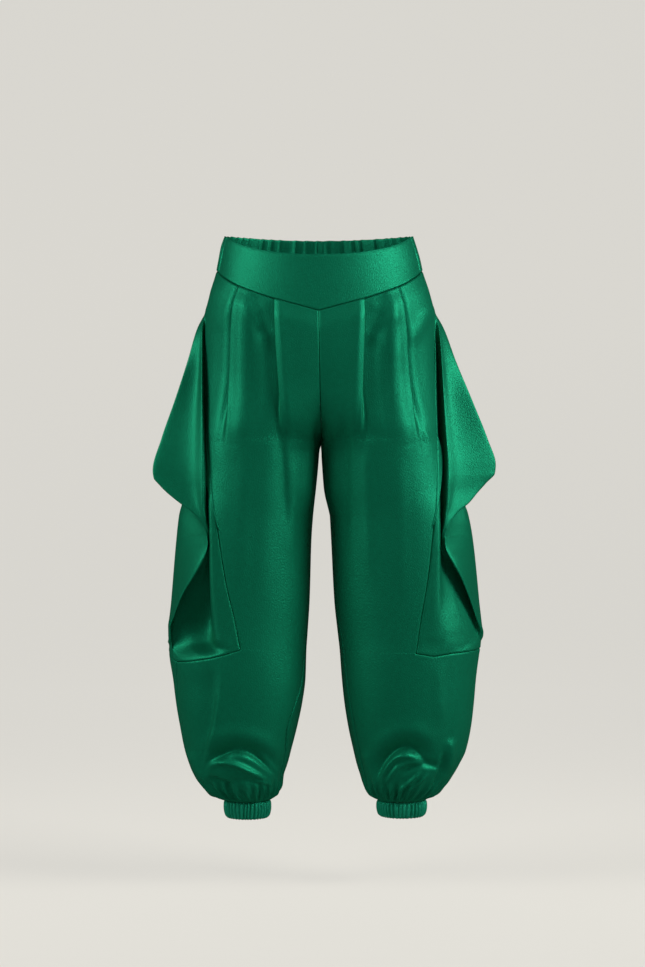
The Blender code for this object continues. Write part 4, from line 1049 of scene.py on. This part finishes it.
def makeSweep():
    sweep = bmesh.new()
    bmesh.ops.create_grid(sweep, x_segments=2, y_segments=64, size=1)
    turnStart = studio["depth"] - studio["sweep"]
    straight = turnStart + studio["front"]
    arc = studio["sweep"] * pi / 2
    for vert in sweep.verts:
        along = (vert.co.y + 1) / 2 * (straight + arc + studio["height"])
        x = vert.co.x * studio["width"] / 2
        if along < straight:
            y, z = along - studio["front"], 0.0
        elif along < straight + arc:
            turn = (along - straight) / studio["sweep"]
            y = turnStart + studio["sweep"] * np.sin(turn)
            z = studio["sweep"] * (1 - np.cos(turn))
        else:
            y, z = studio["depth"], studio["sweep"] + along - straight - arc
        vert.co = Vector((x, y, z + studio["floor"]))
    mesh = bpy.data.meshes.new("paper_sweep")
    sweep.to_mesh(mesh)
    sweep.free()
    mesh.shade_smooth()
    paper = addObject("paper_sweep", mesh)
    material, tree, shader = newMaterial("matt_backdrop_paper")
    setInputs(tree, shader, {
        "Base Color": linear(studio["paper"]), "Roughness": 0.9, "Specular IOR Level": 0.1,
        "Emission Color": linear(studio["glow"][0]), "Emission Strength": studio["glow"][1]})
    mesh.materials.append(material)
    paper.visible_glossy = False    # as in a room that is dark beyond the lights


def addLight(name, place, aim, size, power, colour, spread):
    lamp = bpy.data.lights.new(name, "AREA")
    lamp.shape = "RECTANGLE"
    lamp.size, lamp.size_y = size
    lamp.energy = power
    lamp.spread = radians(spread)
    lamp.color = linear(colour)[:3]
    light = addObject(name, lamp)
    light.location = place
    light.rotation_euler = (Vector(aim) - Vector(place)).to_track_quat("-Z", "Y").to_euler()


makeSweep()
for light in studio["lights"]:
    addLight(*light)

# The room lights the cloth softly, and is seen as pale as the paper.
world = bpy.data.worlds.new("studio_room")
bpy.context.scene.world = world
world.use_nodes = True
tree = world.node_tree
roomLight = tree.nodes["Background"]
setInputs(tree, roomLight, {"Color": linear(studio["room"][0]), "Strength": studio["room"][1]})
roomSeen = addNode(tree, "ShaderNodeBackground", {}, {
    "Color": linear(studio["roomSeen"][0]), "Strength": studio["roomSeen"][1]})
seen = addNode(tree, "ShaderNodeLightPath", {}, {})
room = addNode(tree, "ShaderNodeMixShader", {}, {
    "Fac": seen.outputs["Is Camera Ray"], 1: roomLight.outputs["Background"],
    2: roomSeen.outputs["Background"]})
setInputs(tree, tree.nodes["World Output"], {"Surface": room.outputs["Shader"]})

lens = bpy.data.cameras.new("camera")
lens.sensor_width = 36
lens.lens = studio["lens"]
camera = addObject("camera", lens)
camera.location = studio["cameraAt"]
camera.rotation_euler = (radians(90), 0, 0)
bpy.context.scene.camera = camera
bpy.context.scene.view_settings.view_transform = "Standard"

print("studio ready")
